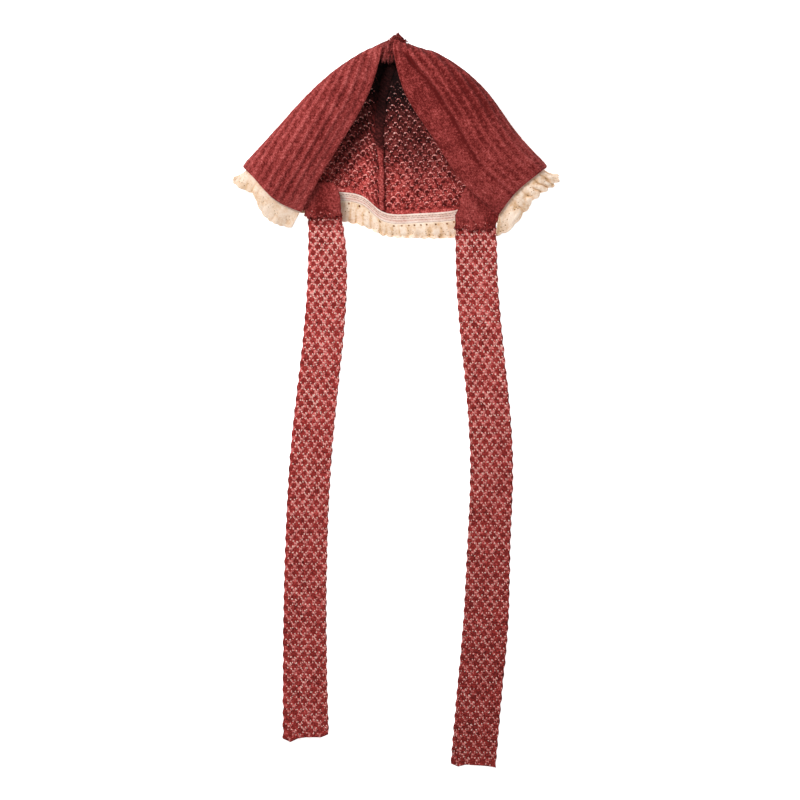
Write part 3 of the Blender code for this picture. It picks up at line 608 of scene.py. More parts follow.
class Hood:
    """The shape of the knit: a section from the left face edge to the right one at any row."""

    def __init__(self):
        self.half = CROWN_WIDTH / 2
        self.middle = np.array([GATHER_ACROSS * self.half, GATHER_PLANE, GATHER_RISE])
        left = self.section_lines(LEFT, -1)
        right = self.section_lines(RIGHT, 1)
        self.seam_index = len(left) * SAMPLES
        self.lines = left + [self.line(SEAM, -1)] + right[::-1]
        self.heading_top = 1 - HEADING_HEIGHT / (CROWN_LENGTH + GATHER_PLANE)
        self.known = {}

    def line(self, row, side):
        """A line of the tables, with its end at the hem in metres."""
        hem = np.array([row.hem_x * self.half, row.hem_y * CROWN_LENGTH, row.hem_z * CROWN_HEIGHT])
        bows = [0.0, row.bow_1, row.bow_2, row.bow_3, 0.0]
        return {"hem": hem, "gather": row.gather, "side": side, "bows": bows, "lift": row.lift}

    def section_lines(self, rows, side):
        """The lines of one side, with five worked out for its round fold."""
        edge, panel, outer, *backs = (self.line(row, side) for row in rows.values())
        lines = [edge, panel]
        for degrees in FOLD_TURNS:
            towards, share = (panel, 0.55) if degrees > 0 else (backs[0], 0.45)
            turn = math.radians(degrees)
            inwards = unit((towards["hem"] - outer["hem"])[:2])
            hem = outer["hem"].copy()
            hem[:2] += inwards * FOLD_DEPTH * (1 - math.cos(turn))
            hem[2] *= (1 + math.sin(turn)) / 2
            fold = dict(outer, hem=hem, lift=outer["lift"] * (1 + math.sin(turn)) / 2)
            part = abs(degrees) / 90 * share
            fold["gather"] = outer["gather"] + (towards["gather"] - outer["gather"]) * part
            lines.append(fold)
        return lines + backs

    def point(self, line, row):
        """Where a line is at a row, 0 at the gather and 1 at the hem."""
        knit = bpy.context.scene.bonnet_knit
        turn = math.radians(line["gather"])
        closing = 1 - eased(row / CLOSED_BY)
        oval = np.array([math.cos(turn) * GATHER_WIDTH / 2, 0.0, math.sin(turn) * GATHER_HEIGHT / 2])
        start = self.middle + oval * (1 - GATHER_TURN_IN * closing)
        start[1] += GATHER_LIP * closing
        across = (line["hem"] - start)[:2]
        outwards = unit(np.array([-across[1], across[0]]))
        outwards *= line["side"] * math.copysign(1, outwards[0])
        quarters = np.linspace(0, 1, 5)
        bow = natural_spline(quarters, np.array(line["bows"])[:, None], np.array([row]))[0, 0]
        rise = 1 - max(0.0, 1 - row) ** RISE
        spot = np.empty(3)
        spot[:2] = start[:2] + across * row + outwards * bow * CROWN_LENGTH
        puff = line["lift"] * CROWN_HEIGHT * 4 * row * (1 - row)
        spot[2] = start[2] + (line["hem"][2] + knit.rib_height - start[2]) * rise + puff
        return spot

    def section(self, row):
        """Dense points of the knit's face at a row, from the left face edge to the right."""
        points = np.array([self.point(line, row) for line in self.lines])
        knots = lengths_along(points)
        share = np.arange(SAMPLES * (len(points) - 1) + 1) / SAMPLES
        dense = natural_spline(knots, points, np.interp(share, np.arange(len(points)), knots))
        dense[:, 2] = np.maximum(dense[:, 2], bpy.context.scene.bonnet_knit.rib_height)
        return dense

    def surface(self, row):
        """Points, outward normals, downward directions and lengths along the section."""
        if row not in self.known:
            near = 0.004
            here = self.section(row)
            down = unit(self.section(row + near) - self.section(max(row - near, 0.0)))
            normal = unit(np.cross(np.gradient(here, axis=0), down))
            self.known[row] = here, normal, down, lengths_along(here)
        return self.known[row]

    def across(self, row, side, places):
        """Points, normals and directions at distances from that side's face edge."""
        *read, length = self.surface(row)
        at = places if side == "left" else length[-1] - places
        columns = ([np.interp(at, length, values) for values in given.T] for given in read)
        points, normal, down = map(np.column_stack, columns)
        return points, unit(normal), unit(down)

    def half_length(self, row, side):
        """From that side's face edge to the centre back seam."""
        length = self.surface(row)[3]
        seam = length[self.seam_index]
        return seam if side == "left" else length[-1] - seam

    def front_length(self, row, side):
        """From that side's face edge to the outermost line of its fold."""
        length = self.surface(row)[3]
        fold = (2 + FOLD_TURNS.index(0)) * SAMPLES
        return length[fold] if side == "left" else length[-1] - length[-1 - fold]

    def shown_back(self, row, side):
        """How much of the back shows between the seam and that side's face edge."""
        here = self.surface(row)[0]
        edge = here[0] if side == "left" else here[-1]
        return max(0.0, abs(edge[0] - here[self.seam_index][0]))


HOOD = Hood()


def shift():
    """From the gather's frame to where the solids lie."""
    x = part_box("tie_tab_left")[0].x + TAB_TUCK - LEFT["edge"].hem_x * CROWN_WIDTH / 2
    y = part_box("crown_left")[1].y - GATHER_PLANE - GATHER_LIP
    return np.array([x, y, 0.0])


def tucked(hood, side, row, places):
    """The columns at a row, of which those out of sight are drawn together, and how narrow."""
    steps = np.diff(places)
    middle = (places[:-1] + places[1:]) / 2
    ramp = TUCK_RAMP * places[-1]
    past_front = eased((middle - hood.front_length(row, side)) / ramp)
    before_back = eased((places[-1] - hood.shown_back(row, side) - middle) / ramp)
    hidden = TUCK * past_front * before_back
    length = hood.half_length(row, side)
    spare = (places[-1] - length) / np.sum(steps * hidden)
    narrowed = steps * (1 - hidden * np.clip(spare, 0, 1))
    narrowed *= length / np.sum(narrowed)
    ratio = narrowed / steps
    ease = np.minimum(np.append(ratio, ratio[-1]), np.append(ratio[0], ratio))
    return np.concatenate([[0], np.cumsum(narrowed)]), np.minimum(ease, 1.0)


def valley_at(side, row):
    """Where the ribs begin, from the face edge."""
    return EDGE_STRIP + 0 * row if side == "left" else np.interp(row, *zip(*VALLEY))


def dented(side, places, row):
    """Depth of the long dent beside the right band."""
    if side == "left":
        return np.zeros_like(places)
    away = (places - valley_at(side, row)) / DENT_WIDTH
    fading = (1 - 0.75 * eased((row - 0.15) / 0.5)) * eased(row / 0.05)
    return DENT_DEPTH * np.exp(-away * away) * fading


def knit_row(hood, side, row, places):
    """Points and normals of a half's columns at a row, and how much the ribs are narrowed."""
    at, ease = tucked(hood, side, row, places)
    points, normals, _ = hood.across(row, side, at)
    points = points - normals * dented(side, at, row)[:, None]
    if side == "right":
        lowered = SHOULDER_DROP * eased((points[:, 0] - 0.001) / 0.005)
        points[:, 1] -= lowered * (1 - eased(row / 0.16))
    points[:, 2] = np.maximum(points[:, 2], bpy.context.scene.bonnet_knit.rib_height)
    return points, normals, ease


def ribs(side, places, down, row, length):
    """Height and tone of the outer side's ribs, with dimples in the valleys between them; the tone
    paints shade in the valleys and the dimples' rings and light on the crests.
    """
    knit = bpy.context.scene.bonnet_knit
    start = valley_at(side, row)
    count = RIGHT_RIBS
    if side == "left":
        count = max(2, round((length - EDGE_STRIP) / knit.rib_pitch))
    pitch = (length - start) / count
    rib = (places - start) / pitch + 0.07 * mottle(places, down, RIB_PATCH, 4)
    crest = np.sin(math.pi * rib) ** 2
    valley = np.round(rib)
    turn = down / knit.dimple_pitch - 0.5 * (valley % 2) + 0.18 * mottle(rib, down * 150, 1.7, 5)
    aside = (rib - valley) * pitch / DIMPLE_RADII[0]
    below = (turn - np.round(turn)) * knit.dimple_pitch / DIMPLE_RADII[1]
    off = np.hypot(aside, below)
    ring = np.exp(-(((off - 1) / 0.40) ** 2))
    centre = np.exp(-((off / 0.55) ** 2))
    beside = eased((places - start) / RIBS_CLEAR[side])
    if side == "left":
        clear = 0.30 + 0.70 * beside
        band = np.interp(places, [0, EDGE_STRIP * 0.5, EDGE_STRIP], [0.35, 0.7, 0.0])
    else:
        clear = 1.05 * beside * (1 - 0.32 * eased((row - 0.40) / 0.35))
        band = np.interp(places / start, [0, 0.2, 0.55, 0.85, 1], [0.35, 0.7, 0.75, 0.6, 0])
    height = clear * knit.rib_height * crest ** 0.8
    height -= knit.dimple_depth * (ring - 0.5 * centre) * (1 - crest)
    tone = 0.47 + clear * (0.27 * crest ** 0.9 - 0.15)
    tone += (0.3 + 0.7 * clear) * (0.17 * centre - 0.20 * ring * (1 - 0.5 * crest))
    broad, fine = (mottle(places, down, size, seed) for size, seed in zip(LOOP_PATCHES, (11, 12)))
    loops = 0.5 * broad + 0.7 * fine
    strip = 1 - eased((places - start + STRIP_EDGE) / (2 * STRIP_EDGE))
    height = height * (1 - strip) + knit.rib_height * band * strip + LOOP_HEIGHT * loops
    tone = tone * (1 - strip) + 0.43 * strip + (0.14 + 0.10 * strip) * loops
    return height, tone


def dotted_dent(side, at, row, down):
    """Painted shade in the long dent of the right half, with a line of dots along it."""
    if side == "left":
        return np.zeros_like(at)
    away = at - valley_at(side, row)
    dots = 0.45 + 0.55 * np.cos(2 * math.pi * down / DENT_DOTS)
    dots = dots * np.exp(-((away / DOT_WIDTH) ** 2))
    line = np.exp(-((away / DENT_LINE) ** 2))
    deep = np.exp(-((away / DENT_TOP) ** 2) - ((row - 0.105) / 0.045) ** 2)
    fading = (1 - 0.5 * eased((row - 0.6) / 0.4)) * eased((row - 0.03) / 0.05)
    return (0.50 * dots + 0.22 * line) * fading + 0.80 * deep


def gather_pleats(row, at, side):
    """Height of the pleats that run into the gather, at places measured along a row."""
    near = eased((0.16 - row) / 0.13)
    turn = 2 * math.pi * at / PLEAT_PITCH + (1.1 if side == "left" else 2.3)
    turn = turn + 1.3 * np.sin(at / PLEAT_WANDER)
    return near * (np.abs(np.sin(turn / 2)) ** 0.7 - 0.65)


def lattice(across, along, cell):
    """Distance from the nearest bobble, as a share of its radius, and fine irregular heights."""
    across = across + NET_WANDER * mottle(across, along, NET_PATCH, 21)
    along = along + NET_WANDER * mottle(across, along, NET_PATCH, 22)
    near = np.full(np.shape(across), 9.0)
    for half in (0.0, 0.5):
        u = across / cell[0] - half
        v = along / cell[1] - half
        aside = (u - np.round(u)) * cell[0] / BOBBLE_RADII[0]
        below = (v - np.round(v)) * cell[1] / BOBBLE_RADII[1]
        near = np.minimum(near, np.hypot(aside, below))
    ragged = [mottle(across, along, size, seed) for size, seed in zip(NET_NOISE, (24, 25))]
    near += 0.10 * ragged[0] + 0.16 * ragged[1]
    return near, mottle(across, along, NET_GRAIN, 23)


def netted(across, along, cell):
    """Height and tone of the ties: dark bobbles in a pale net, with painted shade round each bobble.
    """
    near, grains = lattice(across, along, cell)
    dome = np.sqrt(np.clip(1 - near * near, 0, 1))
    net = eased((near - 0.80) / 0.44)
    flank = np.exp(-(((near - 1.05) / 0.22) ** 2))
    height = 0.55 * dome + 0.30 * net * (1 + grains) - 0.25 * flank
    return height, 0.32 + 0.02 * dome + 0.41 * net - 0.12 * flank + (0.14 + 0.36 * net) * grains


def hollowed(across, along, cell):
    """Height and tone of the inside of the hood: round stitches above hollows darkened by painted
    shade.
    """
    near, grains = lattice(across, along, cell)
    dome = np.sqrt(np.clip(1 - (near / 1.15) ** 2, 0, 1))
    return dome - 0.4 + 0.3 * grains, 0.12 + 0.34 * dome + 0.26 * grains


def inner_folds(points, row):
    """How deep the soft folds of the inside are, which run from the gather."""
    apart = np.degrees(np.arctan2(points[..., 0] - FOLD_ROOT[0], FOLD_ROOT[1] - points[..., 1]))
    depth = np.zeros(apart.shape)
    for fold in INNER_FOLDS:
        away = (apart - fold.turn - fold.swing * (row - 0.5)) / fold.width
        depth += fold.depth * np.exp(-away * away) * eased((fold.ends - row) / 0.25)
    return depth * eased((row - 0.08) / 0.15)


def mesh_of(name, points, faces, tone, shade, places=None, second=None):
    """An object with that mesh, moved among the solids.

    tone and shade become its float attributes, places its UV map, and second says which faces
    have the second material.
    """
    points = points + shift()
    corners = points[faces]
    volume = np.einsum("ij,ij->i", corners[:, 0], np.cross(corners[:, 1], corners[:, 2]))
    volume += np.einsum("ij,ij->i", corners[:, 0], np.cross(corners[:, 2], corners[:, 3]))
    if volume.sum() < 0:
        faces = faces[:, ::-1]
    data = bpy.data.meshes.new(name)
    data.vertices.add(len(points))
    data.vertices.foreach_set("co", points.astype(np.float32).ravel())
    data.loops.add(faces.size)
    data.loops.foreach_set("vertex_index", faces.astype(np.int32).ravel())
    data.polygons.add(len(faces))
    data.polygons.foreach_set("loop_start", np.arange(0, faces.size, 4, dtype=np.int32))
    if second is not None:
        data.polygons.foreach_set("material_index", second.astype(np.int32))
    data.update(calc_edges=True)
    for label, values in (("tone", tone), ("shade", shade)):
        mark = data.attributes.new(label, "FLOAT", "POINT")
        mark.data.foreach_set("value", np.broadcast_to(values, len(points)).astype(np.float32))
    if places is not None:
        layer = data.uv_layers.new(name="knit")
        layer.uv.foreach_set("vector", places[faces.ravel()].astype(np.float32).ravel())
    data.shade_smooth()
    piece = bpy.data.objects.new(name, data)
    bpy.context.scene.collection.objects.link(piece)
    return piece


def wall(name, front, rear, tone, shade, spread, holes=()):
    """A closed cloth between two grids of points, with holes where its cells are left out.

    tone, shade and spread are for both grids, or else a pair for the front and the rear.
    """
    rows, columns = front.shape[:2]
    solid = np.zeros((rows + 1, columns + 1), bool)
    solid[1:-1, 1:-1] = True
    for r, c in holes:
        solid[r + 1, c + 1] = False
    r, c = np.nonzero(solid[1:-1, 1:-1])
    ring = [(r + dr) * columns + c + dc for dr, dc in ((0, 0), (1, 0), (1, 1), (0, 1))]
    back = rows * columns
    faces = [np.column_stack(ring), np.column_stack(ring[::-1]) + back]
    for i, (dr, dc) in enumerate(((0, -1), (1, 0), (0, 1), (-1, 0))):
        bare = ~solid[r + 1 + dr, c + 1 + dc]
        a, b = ring[i][bare], ring[(i + 1) % 4][bare]
        faces.append(np.column_stack([b, a, a + back, b + back]))
    behind = np.zeros(sum(map(len, faces)), bool)
    behind[len(r) : 2 * len(r)] = True
    used, faces = np.unique(np.concatenate(faces), return_inverse=True)

    def both(given, *width):
        pair = given if isinstance(given, tuple) else (given, given)
        grids = [np.broadcast_to(values, (rows, columns, *width)) for values in pair]
        return np.concatenate([grid.reshape((-1, *width)) for grid in grids])[used]

    points = both((front, rear), 3)
    faces = faces.reshape(-1, 4)
    return mesh_of(name, points, faces, both(tone), both(shade), both(spread, 2), behind)


def strand(path, thickness):
    """Points and faces of a tapered four-sided strand along a short path."""
    path = np.asarray(path, float)
    forward = unit(np.gradient(path, axis=0))
    right = unit(np.cross(forward, (0.013, 0.021, 1.0)))
    up = np.cross(right, forward)
    turn = 2 * math.pi * np.arange(4) / 4
    circle = right[:, None] * np.cos(turn)[:, None] + up[:, None] * np.sin(turn)[:, None]
    points = path[:, None] + circle * np.asarray(thickness, float)[:, None, None]
    faces = []
    for first in range(0, 4 * len(path) - 4, 4):
        for i in range(4):
            j = (i + 1) % 4
            faces.append([first + i, first + j, first + 4 + j, first + 4 + i])
    last = 4 * len(path) - 4
    faces.append([3, 2, 1, 0])
    faces.append([last, last + 1, last + 2, last + 3])
    return points.reshape(-1, 3), np.array(faces)


def joined(parts):
    """Points, faces and tones of parts put together. Each part is a pair: its mesh and its tone."""
    points, faces, tones, count = [], [], [], 0
    for (spots, cells), tone in parts:
        points.append(spots)
        faces.append(cells + count)
        tones.append(np.broadcast_to(tone, len(spots)))
        count += len(spots)
    return np.concatenate(points), np.concatenate(faces), np.concatenate(tones)


def scattered(name, templates, picks, origins, axes, tones, shades):
    """Copies of templates at origins, turned by axes of three rows each, as one mesh."""
    points, faces, tone, shade, count = [], [], [], [], 0
    for number, (spots, cells, offsets) in enumerate(templates):
        here = picks == number
        placed = origins[here][:, None] + np.einsum("kj,njx->nkx", spots, axes[here])
        points.append(placed.reshape(-1, 3))
        starts = count + np.arange(len(placed)) * len(spots)
        faces.append((cells[None] + starts[:, None, None]).reshape(-1, 4))
        tone.append((tones[here][:, None] + offsets).ravel())
        shade.append(np.repeat(shades[here], len(spots)))
        count += len(placed) * len(spots)
    return mesh_of(name, *map(np.concatenate, (points, faces, tone, shade)))


def capped_loft(rings):
    """Points and four-sided faces of a closed loft through rings of an even number of points."""
    count, sides = rings.shape[:2]
    grid = np.arange(count * sides).reshape(count, sides)
    after = np.roll(grid, -1, axis=1)
    faces = np.stack([grid[:-1], after[:-1], after[1:], grid[1:]], axis=-1).reshape(-1, 4)
    i = np.arange(sides // 2 - 1)
    cap = np.column_stack([i, i + 1, sides - 2 - i, sides - 1 - i])
    return rings.reshape(-1, 3), np.concatenate([faces, cap[:, ::-1], cap + grid[-1, 0]])


def node(tree, kind, inputs=None, **settings):
    """A shader node with its settings, and its inputs set or linked."""
    made = tree.nodes.new(kind)
    for key, value in settings.items():
        setattr(made, key, value)
    for key, value in (inputs or {}).items():
        if isinstance(value, bpy.types.NodeSocket):
            tree.links.new(value, made.inputs[key])
        else:
            made.inputs[key].default_value = value
    return made


def colour_between(tree, share, first, last):
    """The colour at a share of the way from the first to the last."""
    made = node(tree, "ShaderNodeMix", {0: share, 6: first, 7: last}, data_type="RGBA")
    return made.outputs[2]


def grain(tree, size):
    """Noise of a size in metres on Object coordinates, about 0.5."""
    place = node(tree, "ShaderNodeTexCoord").outputs["Object"]
    made = node(tree, "ShaderNodeTexNoise", {"Vector": place, "Scale": 1 / size, "Detail": 2.0})
    return made.outputs[0]


def new_group(name, inputs, outputs):
    """A shader node group with its sockets, and its input and output nodes."""
    tree = bpy.data.node_groups.new(name, "ShaderNodeTree")
    for label, kind, value in inputs:
        socket = tree.interface.new_socket(label, in_out="INPUT", socket_type=kind)
        if value is not None:
            socket.default_value = value
    for label, kind in outputs:
        tree.interface.new_socket(label, in_out="OUTPUT", socket_type=kind)
    return tree, tree.nodes.new("NodeGroupInput"), tree.nodes.new("NodeGroupOutput")


def knit_group():
    """Knitted yarn: three tones of one colour, with fine stitches and mottling."""
    inputs = [
        ("Place", "NodeSocketVector", None),
        ("Tone", "NodeSocketFloat", 0.5),
        ("Shade", "NodeSocketFloat", 1.0),
        ("Shadow", "NodeSocketColor", (0, 0, 0, 1)),
        ("Body", "NodeSocketColor", (0.5, 0.5, 0.5, 1)),
        ("Light", "NodeSocketColor", (1, 1, 1, 1)),
        ("Stitch", "NodeSocketFloat", 0.0016),
        ("Mottle", "NodeSocketFloat", 2.0),
        ("Weave", "NodeSocketFloat", 0.25),
    ]
    outputs = [("Color", "NodeSocketColor"), ("Height", "NodeSocketFloat")]
    tree, start, end = new_group("Knitted yarn", inputs, outputs)
    given = start.outputs

    def worked(operation, *values):
        made = node(tree, "ShaderNodeMath", dict(enumerate(values)), operation=operation)
        return made.outputs[0]

    place = node(tree, "ShaderNodeSeparateXYZ", {0: given["Place"]})
    u = worked("DIVIDE", place.outputs[0], given["Stitch"])
    v = worked("DIVIDE", place.outputs[1], given["Stitch"])
    centred = worked("SUBTRACT", worked("FRACT", u), 0.5)
    off = worked("MULTIPLY", worked("ABSOLUTE", centred), 2.0)
    slant = worked("ADD", worked("MULTIPLY", v, 1.25), worked("MULTIPLY", off, 0.55))
    loop = worked("MULTIPLY", worked("PINGPONG", slant, 0.5), 2.0)
    groove = worked("SUBTRACT", 1.0, worked("POWER", off, 4.0))
    stitch = worked("MULTIPLY", loop, groove)
    fine = worked("SUBTRACT", grain(tree, FINE_GRAIN), 0.5)
    broad = worked("SUBTRACT", grain(tree, BROAD_GRAIN), 0.5)
    mixed = worked("MULTIPLY_ADD", broad, 0.4, fine)
    tone = worked("MULTIPLY_ADD", mixed, given["Mottle"], given["Tone"])
    tone = worked("MULTIPLY_ADD", worked("SUBTRACT", stitch, 0.5), given["Weave"], tone)
    twice = worked("MULTIPLY", tone, 2.0)
    low = colour_between(tree, twice, given["Shadow"], given["Body"])
    high = colour_between(tree, worked("SUBTRACT", twice, 1.0), low, given["Light"])
    shaded = node(tree, "ShaderNodeVectorMath", {0: high}, operation="SCALE")
    tree.links.new(given["Shade"], shaded.inputs["Scale"])
    tree.links.new(shaded.outputs[0], end.inputs["Color"])
    tree.links.new(worked("MULTIPLY_ADD", fine, 1.2, stitch), end.inputs["Height"])
    return tree


def cloth_material(name):
    """The material of one of the cloths, made when it is first asked for."""
    made = bpy.data.materials.get(name)
    if made:
        return made
    cloth = CLOTHS[name]
    settings = getattr(bpy.context.scene, cloth.settings)
    made = bpy.data.materials.new(name)
    made.use_nodes = True
    tree = made.node_tree
    surface = tree.nodes["Principled BSDF"]
    surface.inputs["Roughness"].default_value = 0.95
    surface.inputs["Specular IOR Level"].default_value = 0.2
    group = bpy.data.node_groups.get("Knitted yarn") or knit_group()
    yarn = node(tree, "ShaderNodeGroup", node_tree=group)
    place = node(tree, "ShaderNodeUVMap", uv_map="knit")
    tree.links.new(place.outputs[0], yarn.inputs["Place"])
    for label in ("tone", "shade"):
        mark = node(tree, "ShaderNodeAttribute", attribute_name=label)
        tree.links.new(mark.outputs["Fac"], yarn.inputs[label.capitalize()])
    for label, colour in zip(("Shadow", "Body", "Light"), cloth.colours.split()):
        yarn.inputs[label].default_value = (*getattr(settings, colour), 1.0)
    yarn.inputs["Stitch"].default_value = cloth.stitch or bpy.context.scene.bonnet_knit.stitch
    yarn.inputs["Mottle"].default_value = cloth.mottle
    yarn.inputs["Weave"].default_value = cloth.weave
    bump = node(tree, "ShaderNodeBump", {"Strength": 0.7, "Distance": cloth.relief})
    tree.links.new(yarn.outputs["Height"], bump.inputs["Height"])
    tree.links.new(yarn.outputs["Color"], surface.inputs["Base Color"])
    tree.links.new(bump.outputs[0], surface.inputs["Normal"])
    return made


def dressed(piece, slot, *cloths):
    """Gives a piece its cloths and its body; slot is not used."""
    for name in cloths:
        piece.data.materials.append(cloth_material(name))
    if len(cloths) == 1:
        plain = np.zeros(len(piece.data.polygons), np.int32)
        piece.data.polygons.foreach_set("material_index", plain)
    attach(piece, "root")


def flecked(name, grid, across, along, cell, shade, keep, templates, seed, dull=0.0, slim=1.0):
    """Pale strands at the crossings of the net, on a grid of points, normals and directions.

    dull is how much darker their tone gets with their shade, and slim how narrow they are.
    """
    points, normals, forward = grid
    shade, slim = (np.broadcast_to(given, across.shape) for given in (shade, slim))
    rng = np.random.default_rng(seed)
    origins, axes, shades = [], [], []
    flat = across.mean(axis=0)
    for half in (0.0, 0.5):
        first, last = math.floor(flat[0] / cell[0]) - 1, math.ceil(flat[-1] / cell[0]) + 1
        for place in (np.arange(first, last) + 0.5 + half) * cell[0]:
            if not flat[0] < place < flat[-1]:
                continue
            c = int(np.interp(place + rng.normal(0, 0.0001), flat, np.arange(len(flat))))
            run = along[:, c]
            order = np.argsort(run)
            turns = np.arange(math.floor(run.min() / cell[1]), math.ceil(run.max() / cell[1])) + half
            spots = turns * cell[1] + rng.normal(0, 0.0002, len(turns))
            for spot in spots[(spots > run.min()) & (spots < run.max())]:
                r = int(np.interp(spot, run[order], order))
                if not keep[r, c]:
                    continue
                side = unit(np.cross(normals[r, c], forward[r, c]))
                turned = forward[r, c] + side * rng.normal(0, 0.06)
                side = (side - forward[r, c] * rng.normal(0, 0.06)) * slim[r, c]
                origins.append(points[r, c])
                axes.append(np.array([side, turned, normals[r, c]]) * rng.uniform(0.9, 1.1))
                shades.append(shade[r, c])
    shades = np.array(shades)
    picks = rng.integers(0, len(templates), len(origins))
    tones = rng.uniform(0.36, 0.58, len(origins)) - dull * (1 - shades)
    piece = scattered(name, templates, picks, np.array(origins), np.array(axes), tones, shades)
    dressed(piece, "patterned_knit", "pale_yarn")


def speck(x, y, z, size):
    """A small knot of thread."""
    path = [(x, y - size, z - size / 2), (x, y, z), (x, y + size, z - size / 2)]
    return strand(path, [size * 0.45, size, size * 0.45])


def upright(x, low, high, lean):
    """A short strand that stands nearly straight between two bobbles."""
    path = [(x - lean, low, 0.0), (x, (low + high) / 2, 0.00050), (x + lean, high, 0.0)]
    return strand(path, [THREAD * 0.7, THREAD, THREAD * 0.7])


def arched(across, thick):
    """A short arch of thread."""
    rise = 0.0006
    path = [
        (-across, 0.0012 - rise, -0.00005),
        (-across * 0.4, 0.0012 + rise * 0.7, 0.00035),
        (across * 0.4, 0.0012 + rise * 0.7, 0.00035),
        (across, 0.0012 - rise, -0.00005),
    ]
    return strand(path, [thick * 0.6, thick, thick, thick * 0.6])


def tie_flecks():
    """Crossings of the net on the ties: two upright strands with bright specks round them."""
    rng = np.random.default_rng(37)
    made = []
    for _ in range(CROSSINGS):
        near, far = rng.uniform(-0.08, 0.14, 2)
        parts = [
            (upright(-0.0007, -0.0013, 0.0011, -0.0002), near),
            (upright(0.0008, -0.0010, 0.0014, 0.0002), far),
        ]
        for x, y, bright in TIE_SPECKS:
            place = np.array([x, y]) + rng.normal(0, 0.00013, 2)
            mesh = speck(*place, 0.0006, rng.uniform(0.00046, 0.00056))
            parts.append((mesh, bright + rng.normal(0, 0.14)))
        made.append(joined(parts))
    return made


def hood_crossings(seed, width, thick, knots):
    """Crossings of the net inside the hood: a thread that arches over small knots."""
    rng = np.random.default_rng(seed)
    made = []
    for _ in range(CROSSINGS):
        arch = arched(width * rng.uniform(0.9, 1.1), thick)
        parts = [(arch, rng.uniform(-0.30, -0.16))]
        for knot in knots:
            x, y = rng.normal((knot.x, knot.y), 0.00028)
            mesh = speck(x, y, 0.0004, knot.size * rng.uniform(0.9, 1.1))
            parts.append((mesh, knot.tone + rng.normal(0, 0.07)))
        made.append(joined(parts))
    return made


def hood_specks():
    """Crossings deep inside the hood: a bright knot above dull ones."""
    return hood_crossings(43, 0.0016, 0.00036, DEEP_KNOTS)


def hood_arches():
    """Crossings low inside the hood: an arch of thread among bright knots."""
    return hood_crossings(41, 0.0018, 0.00044, LOW_KNOTS)


def front_corner(hood, side):
    """The front corner of the hem on the inside of the tape."""
    points, normals, _ = hood.across(1.0, side, np.array([0.0]))
    return points[0, :2], (points - normals * (KNIT + GAP + HEADING_WALL))[0, 2]


def tab_top(hood, side, y):
    """Height of a tab's top face: it touches the tape at the front corner."""
    corner, under = front_corner(hood, side)
    return under - GAP + TAB_SLOPE * (y - corner[1])


